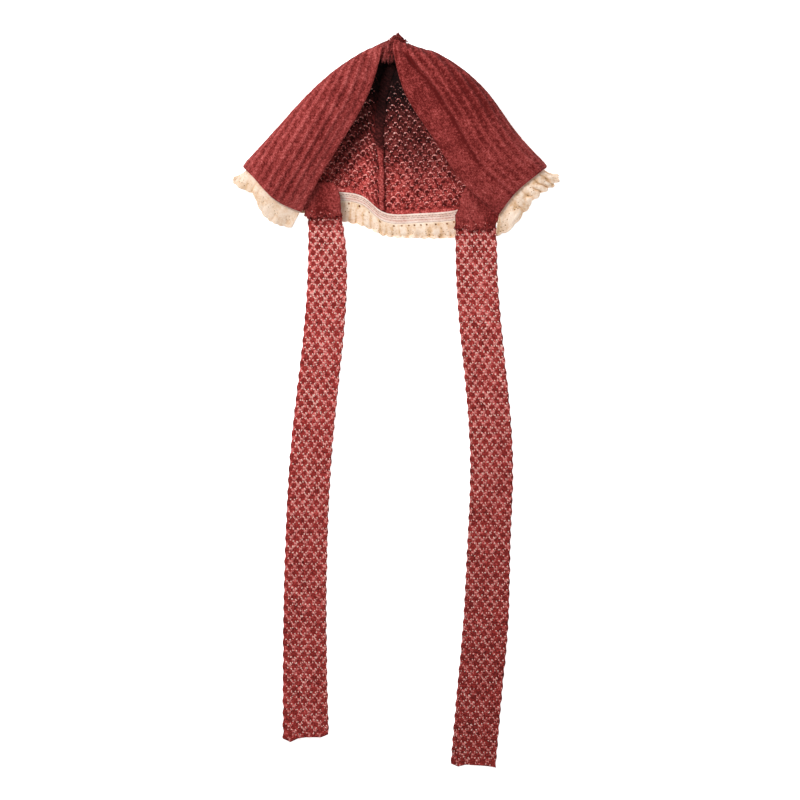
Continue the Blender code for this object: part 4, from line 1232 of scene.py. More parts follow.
class BONNET_OT_hood(bpy.types.Operator):
    """Knits the two halves of the hood, ribbed outside and netted inside"""

    bl_idname = "bonnet.hood"
    bl_label = "Hood"

    def execute(self, context):
        HOOD.known.clear()
        for side in ("left", "right"):
            self.half(HOOD, side, context.scene.bonnet_knit)
        return {"FINISHED"}

    def half(self, hood, side, knit):
        """The cloth of one half, and the crossings of the net on its inside."""
        length = hood.half_length(1.0, side)
        places = edge_steps(length, knit.step, KNIT_BORDER)
        shares = edge_steps(1.0, knit.step / (CROWN_LENGTH * 1.05), 0.010) ** 1.12
        layers = [knit_row(hood, side, row, places) for row in shares]
        points, normals, ease = (np.array(part) for part in zip(*layers))
        steps = np.linalg.norm(np.diff(points, axis=0), axis=2)
        down = np.zeros(points.shape[:2])
        down[:-1] = np.cumsum(steps[::-1], axis=0)[::-1]
        across = np.broadcast_to(places, down.shape)
        row = np.broadcast_to(shares[:, None], down.shape)
        at = np.array([tucked(hood, side, share, places)[0] for share in shares])

        height, tone = ribs(side, across, down, row, length)
        plain = 0.35 + 0.65 * eased(down / PLAIN_HEM)
        ribbed = height * ease * eased(row / 0.12) * plain
        dots = np.array([dotted_dent(side, a, share, d) for a, share, d in zip(at, shares, down)])
        pleats = gather_pleats(row, at, side)
        fronts = np.array([hood.front_length(share, side) for share in shares])[:, None]
        rim = eased(1 - np.abs(at - fronts) / FOLD_RIM)
        # The tone paints shade along the dent and the side fold's outermost line, and light and shade
        # on the pleats that run into the gather
        tone = 0.46 + (tone - 0.46) * plain - dots + 0.45 * pleats
        tone -= 0.40 * rim + self.dimmed(side, at, row)
        border = np.minimum(np.minimum(across, length - across), down)
        full = rounding(border, KNIT_BORDER)
        thin = KNIT / 2 * (1 - full)
        outside = points + normals * (ribbed * full - thin + PLEAT_HEIGHT * pleats * full)[..., None]
        outside[..., 2] = np.maximum(outside[..., 2], 0.0)

        cell = (length / round(length / knit.cell_across), knit.cell_along)
        relief, net = hollowed(across, down, cell)
        bare = eased((down - HEADING_HEIGHT - NET_FROM) / NET_RAMP)
        folds = inner_folds(points, row) * eased((across - length * 0.45) / (length * 0.1))
        sunk = NET_SUNK * (bare * full) - NET_HEIGHT * relief * bare * ease * full
        deep = INNER_DEPTH * folds * bare * full
        inside = points - normals * (KNIT - thin - sunk - np.maximum(deep, -INNER_RISE))[..., None]
        net = 0.42 + (net - 0.42) * bare + 0.16 * mottle(across, down, HIDDEN_GRAIN, 13) * (1 - bare)
        # Painted shade inside: the nearer the gather the darker, and darker in the soft folds,
        # lighter on the raised ones
        light = 0.05 + 0.40 * eased((row - 0.28) / 0.20) + 0.85 * eased((row - 0.50) / 0.38)
        shade = light * (1 - 0.50 * folds)
        back = eased((across - length * 0.6) / (length * 0.1)) * eased(1 - down / OVERHANG_FROM)
        outside[..., 1] -= HEM_OVERHANG * back
        inside[..., 1] -= HEM_OVERHANG * back

        spread = np.dstack([across, down])
        # Painted shade outside along the side fold's outermost line; inside, the painted shade of the
        # hollow
        shades = (1 - 0.25 * rim, shade)
        piece = wall(f"hood_{side}", outside, inside, (tone, net), shades, spread)
        dressed(piece, "red_knit", "red_yarn", "inner_yarn")
        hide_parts(f"crown_{side}")

        keep = (bare > 0.6) & (ease > 0.45) & (full > 0.9) & (row > 0.22)
        clear = BESIDE_SEAM_TOP * (1 - eased((row - 0.58) / 0.08)) + BESIDE_SEAM
        keep &= length - across > clear
        keep &= np.abs(at - valley_at(side, row)) > BESIDE_DENT
        grid = inside, -normals, -unit(np.gradient(inside, axis=0))
        # Painted shade of the crossings inside: dim deep in the hood and in its folds, brighter low
        # down
        fleck_shade = (0.16 + 0.92 * eased((row - 0.22) / 0.14)) * (1 - 0.20 * folds)
        fleck_shade += 0.16 * eased((row - 0.55) / 0.25)
        low = row + 0.10 * mottle(across, down, MIXED_PATCH, 14) > 0.60
        for name, part, templates in (
            (f"specks_{side}", keep & ~low, hood_specks()),
            (f"arches_{side}", keep & low, hood_arches()),
        ):
            flecked(name, grid, across, down, cell, fleck_shade, part, templates, 31)

    def dimmed(self, side, at, row):
        """How much deeper the tone of the right half is, that turns away from the light."""
        if side == "left":
            return np.zeros_like(at)
        beyond = eased((at - valley_at(side, row)) / DIM_REACH)
        return 0.18 + 0.12 * beyond - (0.08 + 0.20 * beyond) * eased((row - 0.46) / 0.4)


class BONNET_OT_seam(bpy.types.Operator):
    """Turns in the seam down the centre back"""

    bl_idname = "bonnet.seam"
    bl_label = "Seam ridge"

    def execute(self, context):
        hood = HOOD
        rows = np.linspace(SEAM_START * 0.5, hood.heading_top - 2 * GAP / CROWN_LENGTH, 190)
        profile = np.linspace(0, math.pi, 27)
        ridge, base, spread, tone = [], [], [], []
        for row in rows:
            here = hood.half_length(row, "left")
            down = row * CROWN_LENGTH
            downs = np.full(len(profile), down)
            sway = sum(size * math.sin(down / length) for size, length in SEAM_SWAYS)
            shown = eased((row - 0.56) / 0.07)
            width = SEAM_WIDTH * (0.46 - 0.14 * shown + 0.04 * math.sin(down / SEAM_SWELL))
            places = here + SEAM_ASIDE + sway + width * -np.cos(profile)
            points, normals, _ = hood.across(row, "left", places)
            flat = points - normals * (KNIT - SEAM_SUNK)
            bump = np.sin(profile) ** 0.9 * (1.0 + 0.25 * np.cos(profile))
            height = SEAM_HEIGHT * 0.9 * (0.12 + 0.68 * shown)
            loops = np.cos(2 * math.pi * down / SEAM_LOOP + 2.0 * np.cos(profile))
            loops = loops * np.sin(profile)
            loops += 1.2 * mottle(places * 2, downs, SEAM_PATCH, 41) * np.sin(profile)
            base.append(flat)
            stands = height * (0.06 + 0.8 * bump) + SEAM_LOOP_HEIGHT * loops
            ridge.append(flat - normals * stands[:, None])
            spread.append(np.column_stack([places, downs]))
            # Painted light and shadow: the ridge is lighter on its left flank and darker in a groove
            # along its right
            groove = np.exp(-(((profile - 2.8) / 0.5) ** 2))
            lit = 0.20 + 0.28 * shown + 0.12 * np.cos(profile - 0.9)
            tone.append(lit - 0.42 * groove * shown + 0.12 * loops)
        ridge, base, spread, tone = (np.array(part) for part in (ridge, base, spread, tone))
        # Painted shade: all but black high in the hood, lighter lower down
        shade = 0.10 + 0.18 * eased((rows - 0.34) / 0.2) + 0.84 * eased((rows - 0.57) / 0.07)
        piece = wall("seam_ridge", ridge, base, tone, shade[:, None], spread)
        dressed(piece, "dark_red_knit", "bunched_yarn")
        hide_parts("back_seam")
        return {"FINISHED"}


class BONNET_OT_knot(bpy.types.Operator):
    """Bunches the knit in the gather and ties its tuft"""

    bl_idname = "bonnet.knot"
    bl_label = "Gather and tuft"

    def execute(self, context):
        self.bundle(HOOD)
        self.folds()
        self.tuft()
        return {"FINISHED"}

    def bundle(self, hood):
        """The knot of knit that closes the gather."""
        lip = hood.middle + np.array([0.0, GATHER_LIP, 0.0])
        turn = 2 * math.pi * np.arange(120) / 120
        swing = KNOT_PLEATS * turn + 0.9 * np.sin(3 * turn)
        places = np.linspace(KNOT_RINGS[0].place, KNOT_RINGS[-1].place, 54)
        rings = []
        for place, (across, up) in zip(places, along_rows(KNOT_RINGS, places)):
            slim = 1 - 0.35 * eased(place / 0.4)
            fold = np.cos(swing + 0.4 * math.sin(place * 4))
            fine = np.cos(KNOT_STRANDS * turn + place * 9)
            pleat = KNOT_PLEAT_HEIGHT * fold + KNOT_STRAND_HEIGHT * fine
            pleat = pleat * min(1.0, max(across, 0.05) * 3)
            ring = np.zeros((len(turn), 3))
            ring[:, 0] = (GATHER_WIDTH / 2 * max(across, 0.08) * slim + pleat) * np.cos(turn)
            ring[:, 0] -= 0.0008 * eased(place / 0.4) + 0.0015 * eased(-place / 0.4)
            ring[:, 1] = place * (KNOT_DEPTH if place < 0 else TUFT_HEIGHT)
            ring[:, 2] = (GATHER_HEIGHT / 2 * max(up, 0.08) + pleat) * np.sin(turn)
            rings.append(lip + ring)
        points, faces = capped_loft(np.array(rings))
        # Painted light and shade: lighter on the tops of its pleats, darker the deeper it lies inside
        # the hood
        tone = 0.20 + 0.20 * np.tile(np.cos(swing), len(rings))
        depth = np.repeat(places, len(turn))
        shade = (0.15 + 0.85 * eased((depth + 0.6) / 0.6)) * 0.7
        spread = np.column_stack([np.tile(turn, len(rings)) * 0.006, depth * 0.01])
        piece = mesh_of("gather_bundle", points, faces, tone, shade, spread)
        dressed(piece, "dark_red_knit", "bunched_yarn")
        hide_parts("gather_knot")

    def folds(self):
        """The bunched folds of knit that fill the top of the face opening."""
        parts, spread = [], []
        turn = 2 * math.pi * np.arange(20) / 20
        shares = edge_steps(1.0, 0.045, 0.10)
        for number, fold in enumerate(TOP_FOLDS):
            start = np.array([fold.x0, fold.y0, fold.z0])
            end = np.array([fold.x1, fold.y1, fold.z1])
            forward = unit(end - start)
            right = unit(np.cross(forward, (0, 0, 1.0)))
            up = np.cross(right, forward)
            rings = []
            for share in shares:
                full = math.sqrt(max(0.02, 1 - abs(2 * share - 1) ** 3.5))
                bend = right * 0.0005 * math.sin(share * 5 + number * 1.7)
                loops = 1 + 0.10 * np.cos(6 * turn + number) * math.cos(share * 26 + number)
                size = (fold.width * 0.42 * full * loops)[:, None]
                ring = right * np.cos(turn)[:, None] * size + up * np.sin(turn)[:, None] * size * 0.8
                rings.append(start + (end - start) * share + bend + ring)
            turns, runs = np.tile(turn, len(shares)), np.repeat(shares, len(turn))
            # Painted light and shade: each fold's tone says how light it shows, and it is lighter on
            # its upper side
            tone = fold.tone + 0.10 * np.sin(turns) + 0.06 * np.cos(runs * 30)
            parts.append((capped_loft(np.array(rings)), tone))
            spread.append(np.column_stack([turns * 0.0012, runs * 0.012]))
        points, faces, tone = joined(parts)
        # Painted shade: the folds darken towards their lower ends in the face opening
        shade = 0.66 - 0.44 * eased((-points[:, 1] - 0.0030) / 0.0070)
        piece = mesh_of("gather_folds", points, faces, tone, shade, np.concatenate(spread))
        dressed(piece, "red_knit", "bunched_yarn")

    def tuft(self):
        """Loose yarn ends that stand out of the gather."""
        rng = np.random.default_rng(7)
        parts = []
        share = np.linspace(0, 1, 6)[:, None]
        for group in TUFTS:
            thick = group.thick * np.array([1.0, 1.0, 0.9, 0.75, 0.5, 0.18])
            for _ in range(group.count):
                root = np.array([group.root_x, group.root_y, 0.0]) + rng.normal(0, group.spread, 3)
                tip = np.array([group.tip_x, group.tip_y, 0.0])
                tip += rng.normal(0, group.loose, 3) * (1, 1, 0.8)
                bend = rng.normal(0, group.loose * 0.5, 3)
                path = root + (tip - root) * share + bend * 4 * share * (1 - share)
                path[:, 2] += GATHER_RISE
                parts.append((strand(path, thick), group.tone + rng.normal(0, 0.10)))
        piece = mesh_of("gather_tuft", *joined(parts), 1.0)
        dressed(piece, "dark_red_knit", "bunched_yarn")


class BONNET_OT_lace(bpy.types.Operator):
    """Sews the tape and its gathered, pierced lace inside the neck hem"""

    bl_idname = "bonnet.lace"
    bl_label = "Lace"

    def execute(self, context):
        self.tape(HOOD)
        self.ruffle(HOOD, context.scene.bonnet_lace)
        return {"FINISHED"}

    def tape(self, hood):
        """The tape along the inside of the hem, with grooves for its rows of stitches."""
        columns = {}
        for side in ("left", "right"):
            length = hood.half_length(1.0, side)
            columns[side] = np.linspace(0.0, length, round(length / TAPE_STEP))
        shares = np.linspace(hood.heading_top, 1.0, 25)
        outer, inner = [], []
        for row in shares:
            halves = [knit_row(hood, side, row, places)[:2] for side, places in columns.items()]
            points, normals = (np.concatenate([left, right[-2::-1]]) for left, right in zip(*halves))
            outer.append(points - normals * (KNIT + GAP))
            inner.append(normals)
        outer, inner = np.array(outer), np.array(inner)
        share = np.linspace(0, 1, len(shares))[:, None]
        roll = np.exp(-(((share - 0.06) / 0.06) ** 2))
        grooves = sum(np.exp(-(((share - place) / 0.045) ** 2)) for place in STITCH_ROWS)
        thick = HEADING_WALL * (0.80 + 0.20 * roll - 0.25 * grooves)
        along = lengths_along(outer[-1])
        weave = WEAVE_HEIGHT * np.cos(2 * math.pi * along / WEAVE_PITCH)
        face = outer - inner * (thick + weave)[..., None]
        spread = np.dstack(np.broadcast_arrays(along, share * HEADING_HEIGHT))
        # Painted light on the rolled top edge and painted shade in the grooves of the stitch rows
        tone = 0.80 + 0.20 * roll - 0.26 * grooves + 0.10 * mottle(along, share * 0.01, 0.004, 71)
        piece = wall("lace_tape", outer, face, tone, 1.0, spread)
        dressed(piece, "pale_tape", "woven_tape")
        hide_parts("lace_heading")
        self.stitches(face, inner, along, share[:, 0])

    def stitches(self, face, normals, along, share):
        """Dashes of thread in the grooves of the tape."""
        rng = np.random.default_rng(17)
        dash = strand([(-0.0006, 0, 0), (0, 0, 0.0001), (0.0006, 0, 0)], [0.0001, 0.00015, 0.0001])
        for name, places, cloth in (
            ("tape_stitches", STITCH_ROWS[:2], "grey_thread"),
            ("pink_stitches", STITCH_ROWS[2:], "pink_thread"),
        ):
            origins, axes = [], []
            for number, place in enumerate(places):
                r = int(round(np.interp(place, share, np.arange(len(share)))))
                spots = np.arange(0.0015 + number * 0.001, along[-1] - 0.003, STITCH_PITCH)
                spots = spots + rng.normal(0, 0.0002, len(spots))
                columns = np.round(np.interp(spots, along, np.arange(len(along)))).astype(int)
                forward = unit(np.gradient(face[r], axis=0))[columns]
                out = -normals[r][columns]
                origins.append(face[r][columns])
                axes.append(np.stack([forward, unit(np.cross(out, forward)), out], axis=1))
            origins, axes = np.concatenate(origins), np.concatenate(axes)
            count = len(origins)
            templates = [joined([(dash, 0.0)])]
            tones, shades = np.full(count, 0.5), np.ones(count)
            piece = scattered(name, templates, np.zeros(count), origins, axes, tones, shades)
            dressed(piece, "pale_tape", cloth)

    def ruffle(self, hood, lace):
        """The lace, which falls from the tape in small pleats to a scalloped edge."""
        length = hood.surface(1.0)[3][-1]
        places = np.linspace(0.0, length, round(length / lace.step))
        points, normals, down = hood.across(1.0, "left", places)
        along = unit(np.gradient(points, axis=0))
        depth, lean, flare, drop, wave = along_rows(FRILL, places / length).T
        phase = 2 * math.pi * places / WAVE_LENGTH
        drift = phase + 1.3 * np.sin(phase * WAVE_DRIFT)
        wave = LACE_WAVE * wave * (1 + np.cos(drift)) / 2
        scallop = np.abs(np.sin(math.pi * places / lace.scallop)) - 0.6
        stops, *columns = zip(*PLEATS)
        amount, size, shade = (np.interp(places / length, stops, column) for column in columns)
        deep = np.clip(amount - 0.9, 0, 1)
        step = places[1] - places[0]
        gather = np.cumsum(math.pi * step / (lace.pleat * size))
        gather = gather + 0.9 * np.sin(phase * 0.43) + 0.7 * np.sin(phase * 0.19)
        lobes = np.abs(np.sin(gather)) - 0.6
        depth = depth * LACE_DEPTH + SCALLOP_DEPTH * scallop + LOBE_DEPTH * deep * lobes
        start = points - normals * (KNIT + GAP + HEADING_WALL / 2) + down * GAP / 2
        fall = down + along * lean[:, None]
        rows = round(LACE_FALL / lace.step)
        middle, tone = [], []
        for part in np.linspace(0, 1, rows):
            reach = depth * part
            bent = gather + 0.9 * mottle(places, reach, BEND_PATCH, 83) * eased(part / 0.4)
            lobe = np.abs(np.sin(bent)) ** 0.6
            lift = wave * part ** 1.2
            fades = part ** 0.5 * (1 - 0.5 * part * np.sin(gather * 0.31 + 1) ** 2)
            ripple = lace.pleat_height * amount * (lobe - 0.6) * fades
            out = lift * 0.4 + flare * reach * part + 0.8 * ripple * np.abs(normals[:, 2])
            spots = start + fall * reach[:, None] + normals * out[:, None]
            fallen = drop * LACE_DEPTH * part ** 2
            spots[:, 2] += lift * 0.8 - fallen + ripple * 0.5 + LACE_LIFT * part
            lowest = LACE_WALL / 2 + lift * 0.8 + (ripple + lace.pleat_height) * part
            spots[:, 2] = np.maximum(spots[:, 2], lowest)
            crumple = mottle(places, reach, CRUMPLES[0], 81)
            crumple = crumple + 0.6 * mottle(places, reach, CRUMPLES[1], 82)
            spots[:, 2] += (CRUMPLE_HEIGHT + CORNER_CRUMPLE * deep) * crumple * part
            middle.append(spots)
            # Painted shade in the creases between the pleats, painted light along the top and the
            # lower edge, and the crumples painted lighter where they stand up and darker where they
            # sink
            crease = np.clip(1 - lobe * 1.15, 0, 1) * np.minimum(amount, 1.6) * fades
            rim = 0.10 * eased((part - 0.90) / 0.05) + 0.10 * eased((0.08 - part) / 0.05)
            tone.append(0.86 - 0.50 * crease + rim + (0.14 + 0.10 * deep) * crumple)
        middle, tone = np.array(middle), np.array(tone)
        holes = self.pierce(middle, tone, depth, lace, places, rows)
        face = unit(np.cross(np.gradient(middle, axis=1), np.gradient(middle, axis=0)))
        front, rear = middle + face * LACE_HALF_WALL, middle - face * LACE_HALF_WALL
        for grid in (front, rear):
            grid[..., 2] = np.maximum(grid[..., 2], 0.0)
        reaches = np.linspace(0, 1, rows)[:, None] * depth
        spread = np.dstack([np.broadcast_to(places, tone.shape), reaches])
        piece = wall("lace_ruffle", front, rear, tone, shade, spread, holes)
        dressed(piece, "cream_lace", "cotton_lace")
        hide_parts("lace_frill")

    def pierce(self, middle, tone, depth, lace, places, rows):
        """Cells cut for the row of eyelets, drawn in so that they are round, and small pores dark
        with painted shade.
        """
        rng = np.random.default_rng(23)
        step = places[1] - places[0]
        holes, taken = set(), set()
        back = slice(*(int(stop * len(places)) for stop in BACK_LACE))
        eyelets = np.interp(EYELETS, middle[0, back, 0], places[back])
        spots = [(place, EYELET_DROP, True) for place in eyelets]
        for place in np.arange(lace.flower_pitch / 2, places[-1], lace.flower_pitch):
            centre = rng.uniform(*FLOWER_DROPS)
            for turn in np.arange(FLOWER_HOLES) * 2 * math.pi / FLOWER_HOLES:
                size = rng.uniform(*FLOWER_RADII)
                spots.append((place + size * math.cos(turn), centre + size * math.sin(turn), False))
            for _ in range(3):
                aside = rng.uniform(-PORE_ASIDE, PORE_ASIDE)
                spots.append((place + aside, rng.uniform(*PORE_DROPS), False))
        for place, reach, cut in spots:
            c = int(round(place / step))
            if not 3 <= c < len(places) - 4:
                continue
            r = int(round(reach / depth[c] * (rows - 1)))
            if not 2 <= r < rows - 3 or (r // 2, c // 2) in taken:
                continue
            taken.update((r // 2 + a, c // 2 + b) for a in (-1, 0, 1) for b in (-1, 0, 1))
            if not cut:
                # A pore is a dent, dark with painted shade
                tone[r, c] = -0.30
                middle[r, c, 2] -= PORE_DEPTH
                continue
            holes.update((r + a, c + b) for a in (-1, 0) for b in (-1, 0))
            # Painted shade round an eyelet
            tone[r - 1 : r + 2, c - 1 : c + 2] -= 0.60
            centre = middle[r, c].copy()
            for a in (-1, 1):
                for b in (-1, 1):
                    apart = middle[r + a, c + b] - centre
                    middle[r + a, c + b] = centre + apart * EYELET_DRAWN
        return holes


class BONNET_OT_tabs(bpy.types.Operator):
    """Folds the plain tabs under the front corners"""

    bl_idname = "bonnet.tabs"
    bl_label = "Tabs"

    def execute(self, context):
        for side in ("left", "right"):
            self.tab(HOOD, side, context.scene.bonnet_knit)
        return {"FINISHED"}

    def tab(self, hood, side, knit):
        """A plain tab with a soft crease across it and a ragged lower end."""
        corner, _ = front_corner(hood, side)
        inwards = 1 if side == "left" else -1
        rows = edge_steps(1.0, 0.017, 0.05)
        share = edge_steps(1.0, 0.015, 0.045)
        spot = TABS[side]
        lobes = 0.5 + 0.5 * np.cos(4 * math.pi * (share - 0.27))
        top, bottom, spread, tone = [], [], [], []
        for row, (under, shown) in zip(rows, along_rows(FLAPS, rows)):
            crease = np.exp(-(((share - spot.shadow - spot.slant * row) / 0.17) ** 2))
            broad = spot.broad * eased((row - 0.45) / 0.3)
            first, last = -under * TAB_TUCK, shown * TAB_WIDTH + broad
            x = corner[0] + inwards * (first + (last - first) * share)
            y = np.full(len(share), corner[1] - TAB_REACH + spot.rise * row + TAB_LENGTH * (1 - row))
            ragged = sum(far * mottle(x, y * 0, size, seed) for far, size, seed in TAB_RAGS)
            y += ragged * eased((row - 0.8) / 0.2)
            z = tab_top(hood, side, y)
            border = np.minimum(np.minimum(share, 1 - share) * 0.032, min(row, 1 - row) * TAB_LENGTH)
            thin = TAB_WALL / 2 * (1 - rounding(border, TAB_BORDER))
            fibres = 0.00018 * mottle(x, y * 0.35, 0.0009, 51) + 0.00030 * mottle(x, y, 0.004, 52)
            sag = TAB_SAG * crease - 0.0003 * lobes
            top.append(np.column_stack([x, y, z - sag - thin - 0.0004 + fibres]))
            bottom.append(np.column_stack([x, y, z - TAB_WALL + thin]))
            spread.append(np.column_stack([share * 0.033, np.full(len(share), row * TAB_LENGTH)]))
            loops = 0.6 * mottle(x, y, 0.0017, 53) + 0.5 * mottle(x, y * 0.5, 0.0010, 56)
            # Painted shadow across the crease and painted shade over the middle of the lower end,
            # with the lobes a little lighter as painted light
            low = eased((row - 0.62) / 0.3) * np.exp(-(((share - 0.5) / 0.30) ** 2))
            tone.append(0.43 - 0.30 * crease - spot.dark * low + 0.06 * lobes + 0.18 * loops)
        top, bottom, spread, tone = (np.array(part) for part in (top, bottom, spread, tone))
        piece = wall(f"tab_{side}", top, bottom, tone, 1.0, spread)
        dressed(piece, "red_knit", "red_yarn")
        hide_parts(f"tie_tab_{side}")

        rise = np.broadcast_to((1 - rows)[:, None] * TAB_LENGTH, tone.shape)
        across = np.broadcast_to(share * TAB_WIDTH, tone.shape)
        normals = np.broadcast_to(np.array([0.0, 0.0, 1.0]), top.shape)
        forward = np.broadcast_to(np.array([0.0, 1.0, 0.0]), top.shape)
        keep = (rise < 0.0022) & (rise > 0.0003) & (share > 0.14) & (share < 0.90)
        cell = (knit.cell_across, knit.cell_along / 3)
        grid = top, normals, forward
        specks = hood_specks()
        # Painted shade dims the crossings on a tab
        flecked(f"flecks_tab_{side}", grid, across, rise, cell, 0.88, keep, specks, 35, dull=1.8)
        self.curls(side, top[-4])

    def curls(self, side, edge):
        """Loops of yarn along the lower edge of a tab."""
        rng = np.random.default_rng(61)
        parts = []
        for spot in rng.uniform(0.07, 0.96, 70):
            here = [np.interp(spot, np.linspace(0, 1, len(edge)), values) for values in edge.T]
            wide, deep = rng.uniform(0.0007, 0.0014), rng.uniform(0.0002, 0.0024)
            lean = rng.normal(0, 0.0008)
            path = np.array(here) + np.array([
                (-wide, 0.0016, 0.0002),
                (-wide * 0.7 + lean, -deep * 0.6, -0.0002),
                (lean, -deep, -0.0005),
                (wide * 0.7 + lean, -deep * 0.6, -0.0002),
                (wide, 0.0014, 0.0002),
            ])
            thick = np.array([0.5, 1.0, 1.0, 1.0, 0.5]) * THREAD
            parts.append((strand(path, thick), rng.uniform(0.22, 0.54)))
        piece = mesh_of(f"tab_loops_{side}", *joined(parts), 1.0)
        dressed(piece, "red_knit", "bunched_yarn")


class BONNET_OT_ties(bpy.types.Operator):
    """Lays out the long ties with their bobbles and flecks"""

    bl_idname = "bonnet.ties"
    bl_label = "Ties"

    def execute(self, context):
        for side in ("left", "right"):
            self.tie(HOOD, side, context.scene.bonnet_knit)
        return {"FINISHED"}

    def tie(self, hood, side, knit):
        """A tie with bobbles above, ribs below and pale flecks at the crossings of its net."""
        corner, _ = front_corner(hood, side)
        inwards = 1 if side == "left" else -1
        start = corner[1] - TAB_REACH + TAB_LAP
        length = TIE_LENGTH[side]
        step = knit.step * 0.9
        along = edge_steps(length, step, TIE_BORDER)
        table = along_rows(TIE_STATIONS[side], along / length)
        sway, width = (table * TIE_WIDTH).T[..., None]
        under = tab_top(hood, side, start - np.minimum(along, TAB_LAP)) - TAB_WALL - GAP - TIE_WALL
        height = (under * (1 - eased((along - TAB_LAP) / TIE_DROP)))[:, None]
        share = 2 * edge_steps(1.0, step / TIE_WIDTH, TIE_BORDER / TIE_WIDTH) - 1
        down = np.broadcast_to(along[:, None], (len(along), len(share)))
        across = share * TIE_WIDTH / 2 * (0.4 + 0.6 * width / TIE_WIDTH)
        border = np.minimum((1 - np.abs(share)) * width / 2, np.minimum(down, length - down))
        full = rounding(border, TIE_BORDER)

        cell = (knit.cell_across, knit.cell_along)
        relief, tone = netted(across + NET_ASIDE, down, cell)
        beat = np.cos(2 * math.pi * down / knit.cell_along) * -np.sign(share)
        beat = beat + 0.4 * mottle(down, np.sign(share) * 0.01 + 0 * down, EDGE_PATCH, 61)
        bulge = EDGE_BULGE * beat * np.abs(share) ** 6 * np.sign(share)
        x = corner[0] + inwards * TIE_INSET + sway + share * width / 2 + bulge
        ends = TIE_ENDS[side]
        hang = np.interp(share, np.linspace(-1, 1, len(ends)), ends)
        y = start - down - hang * eased((along - length + TIE_END) / TIE_END)[:, None]
        body = TIE_WALL * (1 - 0.16 * share ** 4)
        thin = body / 2 * (1 - full)
        bobbles = knit.bobble_height * 0.8 * relief * full
        top = np.dstack([x, y, height + body - TIE_SUNK - thin + bobbles])
        grooves = 0.5 + 0.5 * np.cos(2 * math.pi * across / UNDER_RIB)
        bottom = np.dstack([x, y, np.maximum(height + thin + UNDER_GROOVE * grooves * full, 0.0)])
        # Painted shade along the rounded edges
        tone = 0.40 + (tone - 0.38) * (1 - 0.34 * down / length) - 0.35 * (1 - full)
        # Painted shade towards the end of the tie and in the tab's painted shadow across its top
        fading = TIE_FADING[side] * eased(down / length)
        spot = TABS[side]
        dark = (0.06 + spot.dark) * (1 - eased((down - TAB_LAP + spot.rise) / TIE_SHADE))
        tone -= dark + 0.9 * fading
        shade = 1 - 0.5 * fading
        # The underside is painted lighter on its ribs and darker between them
        tones = (tone, 0.35 + 0.3 * grooves)
        piece = wall(f"tie_band_{side}", top, bottom, tones, shade, np.dstack([across, down]))
        dressed(piece, "patterned_knit", "bobbled_yarn", "red_yarn")
        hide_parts(f"tie_{side}")

        normals = unit(np.cross(np.gradient(top, axis=1), -np.gradient(top, axis=0)))
        keep = (border > FLECK_EDGE) & (down > TAB_LAP - spot.rise)
        grid = top, normals, -unit(np.gradient(top, axis=0))
        slim = np.clip(border / SLIM_EDGE, 0.35, 1)
        # Painted shade of the crossings on a tie: dimmer towards its end and in the tab's painted
        # shadow
        fleck_shade = shade - 0.5 * dark
        flecked(f"flecks_tie_{side}", grid, across + NET_ASIDE, down, cell, fleck_shade, keep, tie_flecks(),
                33, dull=3.0, slim=slim)


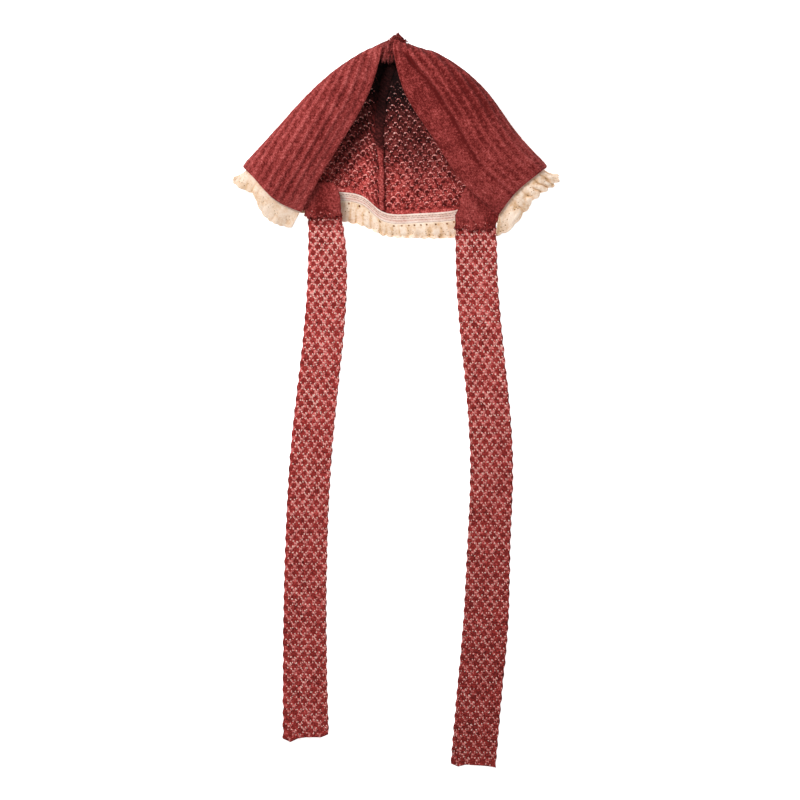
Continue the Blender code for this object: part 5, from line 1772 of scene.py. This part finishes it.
class BONNET_OT_stage(bpy.types.Operator):
    """Sets the pale floor, the soft light and the camera straight above"""

    bl_idname = "bonnet.stage"
    bl_label = "Stage"

    def execute(self, context):
        scene = context.scene
        corners = [(-1, -1), (1, -1), (1, 1), (-1, 1)]
        corners = [(x * FLOOR_HALF, y * FLOOR_HALF, -FLOOR_DROP) for x, y in corners]
        data = bpy.data.meshes.new("floor")
        data.from_pydata(corners, [], [(0, 1, 2, 3)])
        floor = bpy.data.objects.new("floor", data)
        scene.collection.objects.link(floor)
        pale = bpy.data.materials.new("pale_floor")
        pale.use_nodes = True
        surface = pale.node_tree.nodes["Principled BSDF"]
        surface.inputs["Base Color"].default_value = (0.93, 0.93, 0.93, 1)
        surface.inputs["Roughness"].default_value = 0.9
        surface.inputs["Emission Color"].default_value = (1, 1, 1, 1)
        surface.inputs["Emission Strength"].default_value = 0.80
        data.materials.append(pale)

        world = bpy.data.worlds.new("soft_light")
        world.use_nodes = True
        world.node_tree.nodes["Background"].inputs["Color"].default_value = (1, 1, 1, 1)
        world.node_tree.nodes["Background"].inputs["Strength"].default_value = WORLD_LIGHT
        scene.world = world
        for name, *place, power, size in LAMPS:
            light = bpy.data.lights.new(name, "AREA")
            light.energy = power
            light.size = size
            lamp = bpy.data.objects.new(name, light)
            lamp.location = place
            aim = Vector(LIT_SPOT) - Vector(place)
            lamp.rotation_euler = aim.to_track_quat("-Z", "Y").to_euler()
            scene.collection.objects.link(lamp)

        view = bpy.data.cameras.new("camera")
        view.lens = LENS
        view.sensor_width = SENSOR
        view.clip_end = 30.0
        camera = bpy.data.objects.new("camera", view)
        camera.location = (*PHOTO_MIDDLE, PHOTO_SPAN * LENS / SENSOR + PHOTO_PLANE)
        scene.collection.objects.link(camera)
        scene.camera = camera
        scene.view_settings.view_transform = "Standard"
        return {"FINISHED"}


class BONNET_PT_panel(bpy.types.Panel):
    """Lists the pieces of the bonnet"""

    bl_label = "Bonnet"
    bl_idname = "BONNET_PT_panel"
    bl_space_type = "VIEW_3D"
    bl_region_type = "UI"
    bl_category = "Bonnet"

    def draw(self, context):
        for operator in OPERATORS:
            self.layout.operator(operator.bl_idname)
        for group in (context.scene.bonnet_knit, context.scene.bonnet_lace):
            for label in group.bl_rna.properties.keys():
                if label not in ("rna_type", "name"):
                    self.layout.prop(group, label)


OPERATORS = (
    BONNET_OT_hood,
    BONNET_OT_seam,
    BONNET_OT_knot,
    BONNET_OT_lace,
    BONNET_OT_tabs,
    BONNET_OT_ties,
    BONNET_OT_stage,
)
CLASSES = (BonnetKnit, BonnetLace, *OPERATORS, BONNET_PT_panel)


def register():
    """Makes the settings and the operators known to Blender."""
    for made in CLASSES:
        bpy.utils.register_class(made)
    bpy.types.Scene.bonnet_knit = PointerProperty(type=BonnetKnit)
    bpy.types.Scene.bonnet_lace = PointerProperty(type=BonnetLace)


def unregister():
    del bpy.types.Scene.bonnet_lace
    del bpy.types.Scene.bonnet_knit
    for made in reversed(CLASSES):
        bpy.utils.unregister_class(made)


def main():
    register()
    for operator in OPERATORS:
        family, action = operator.bl_idname.split(".")
        getattr(getattr(bpy.ops, family), action)()


if __name__ == "__main__":
    main()
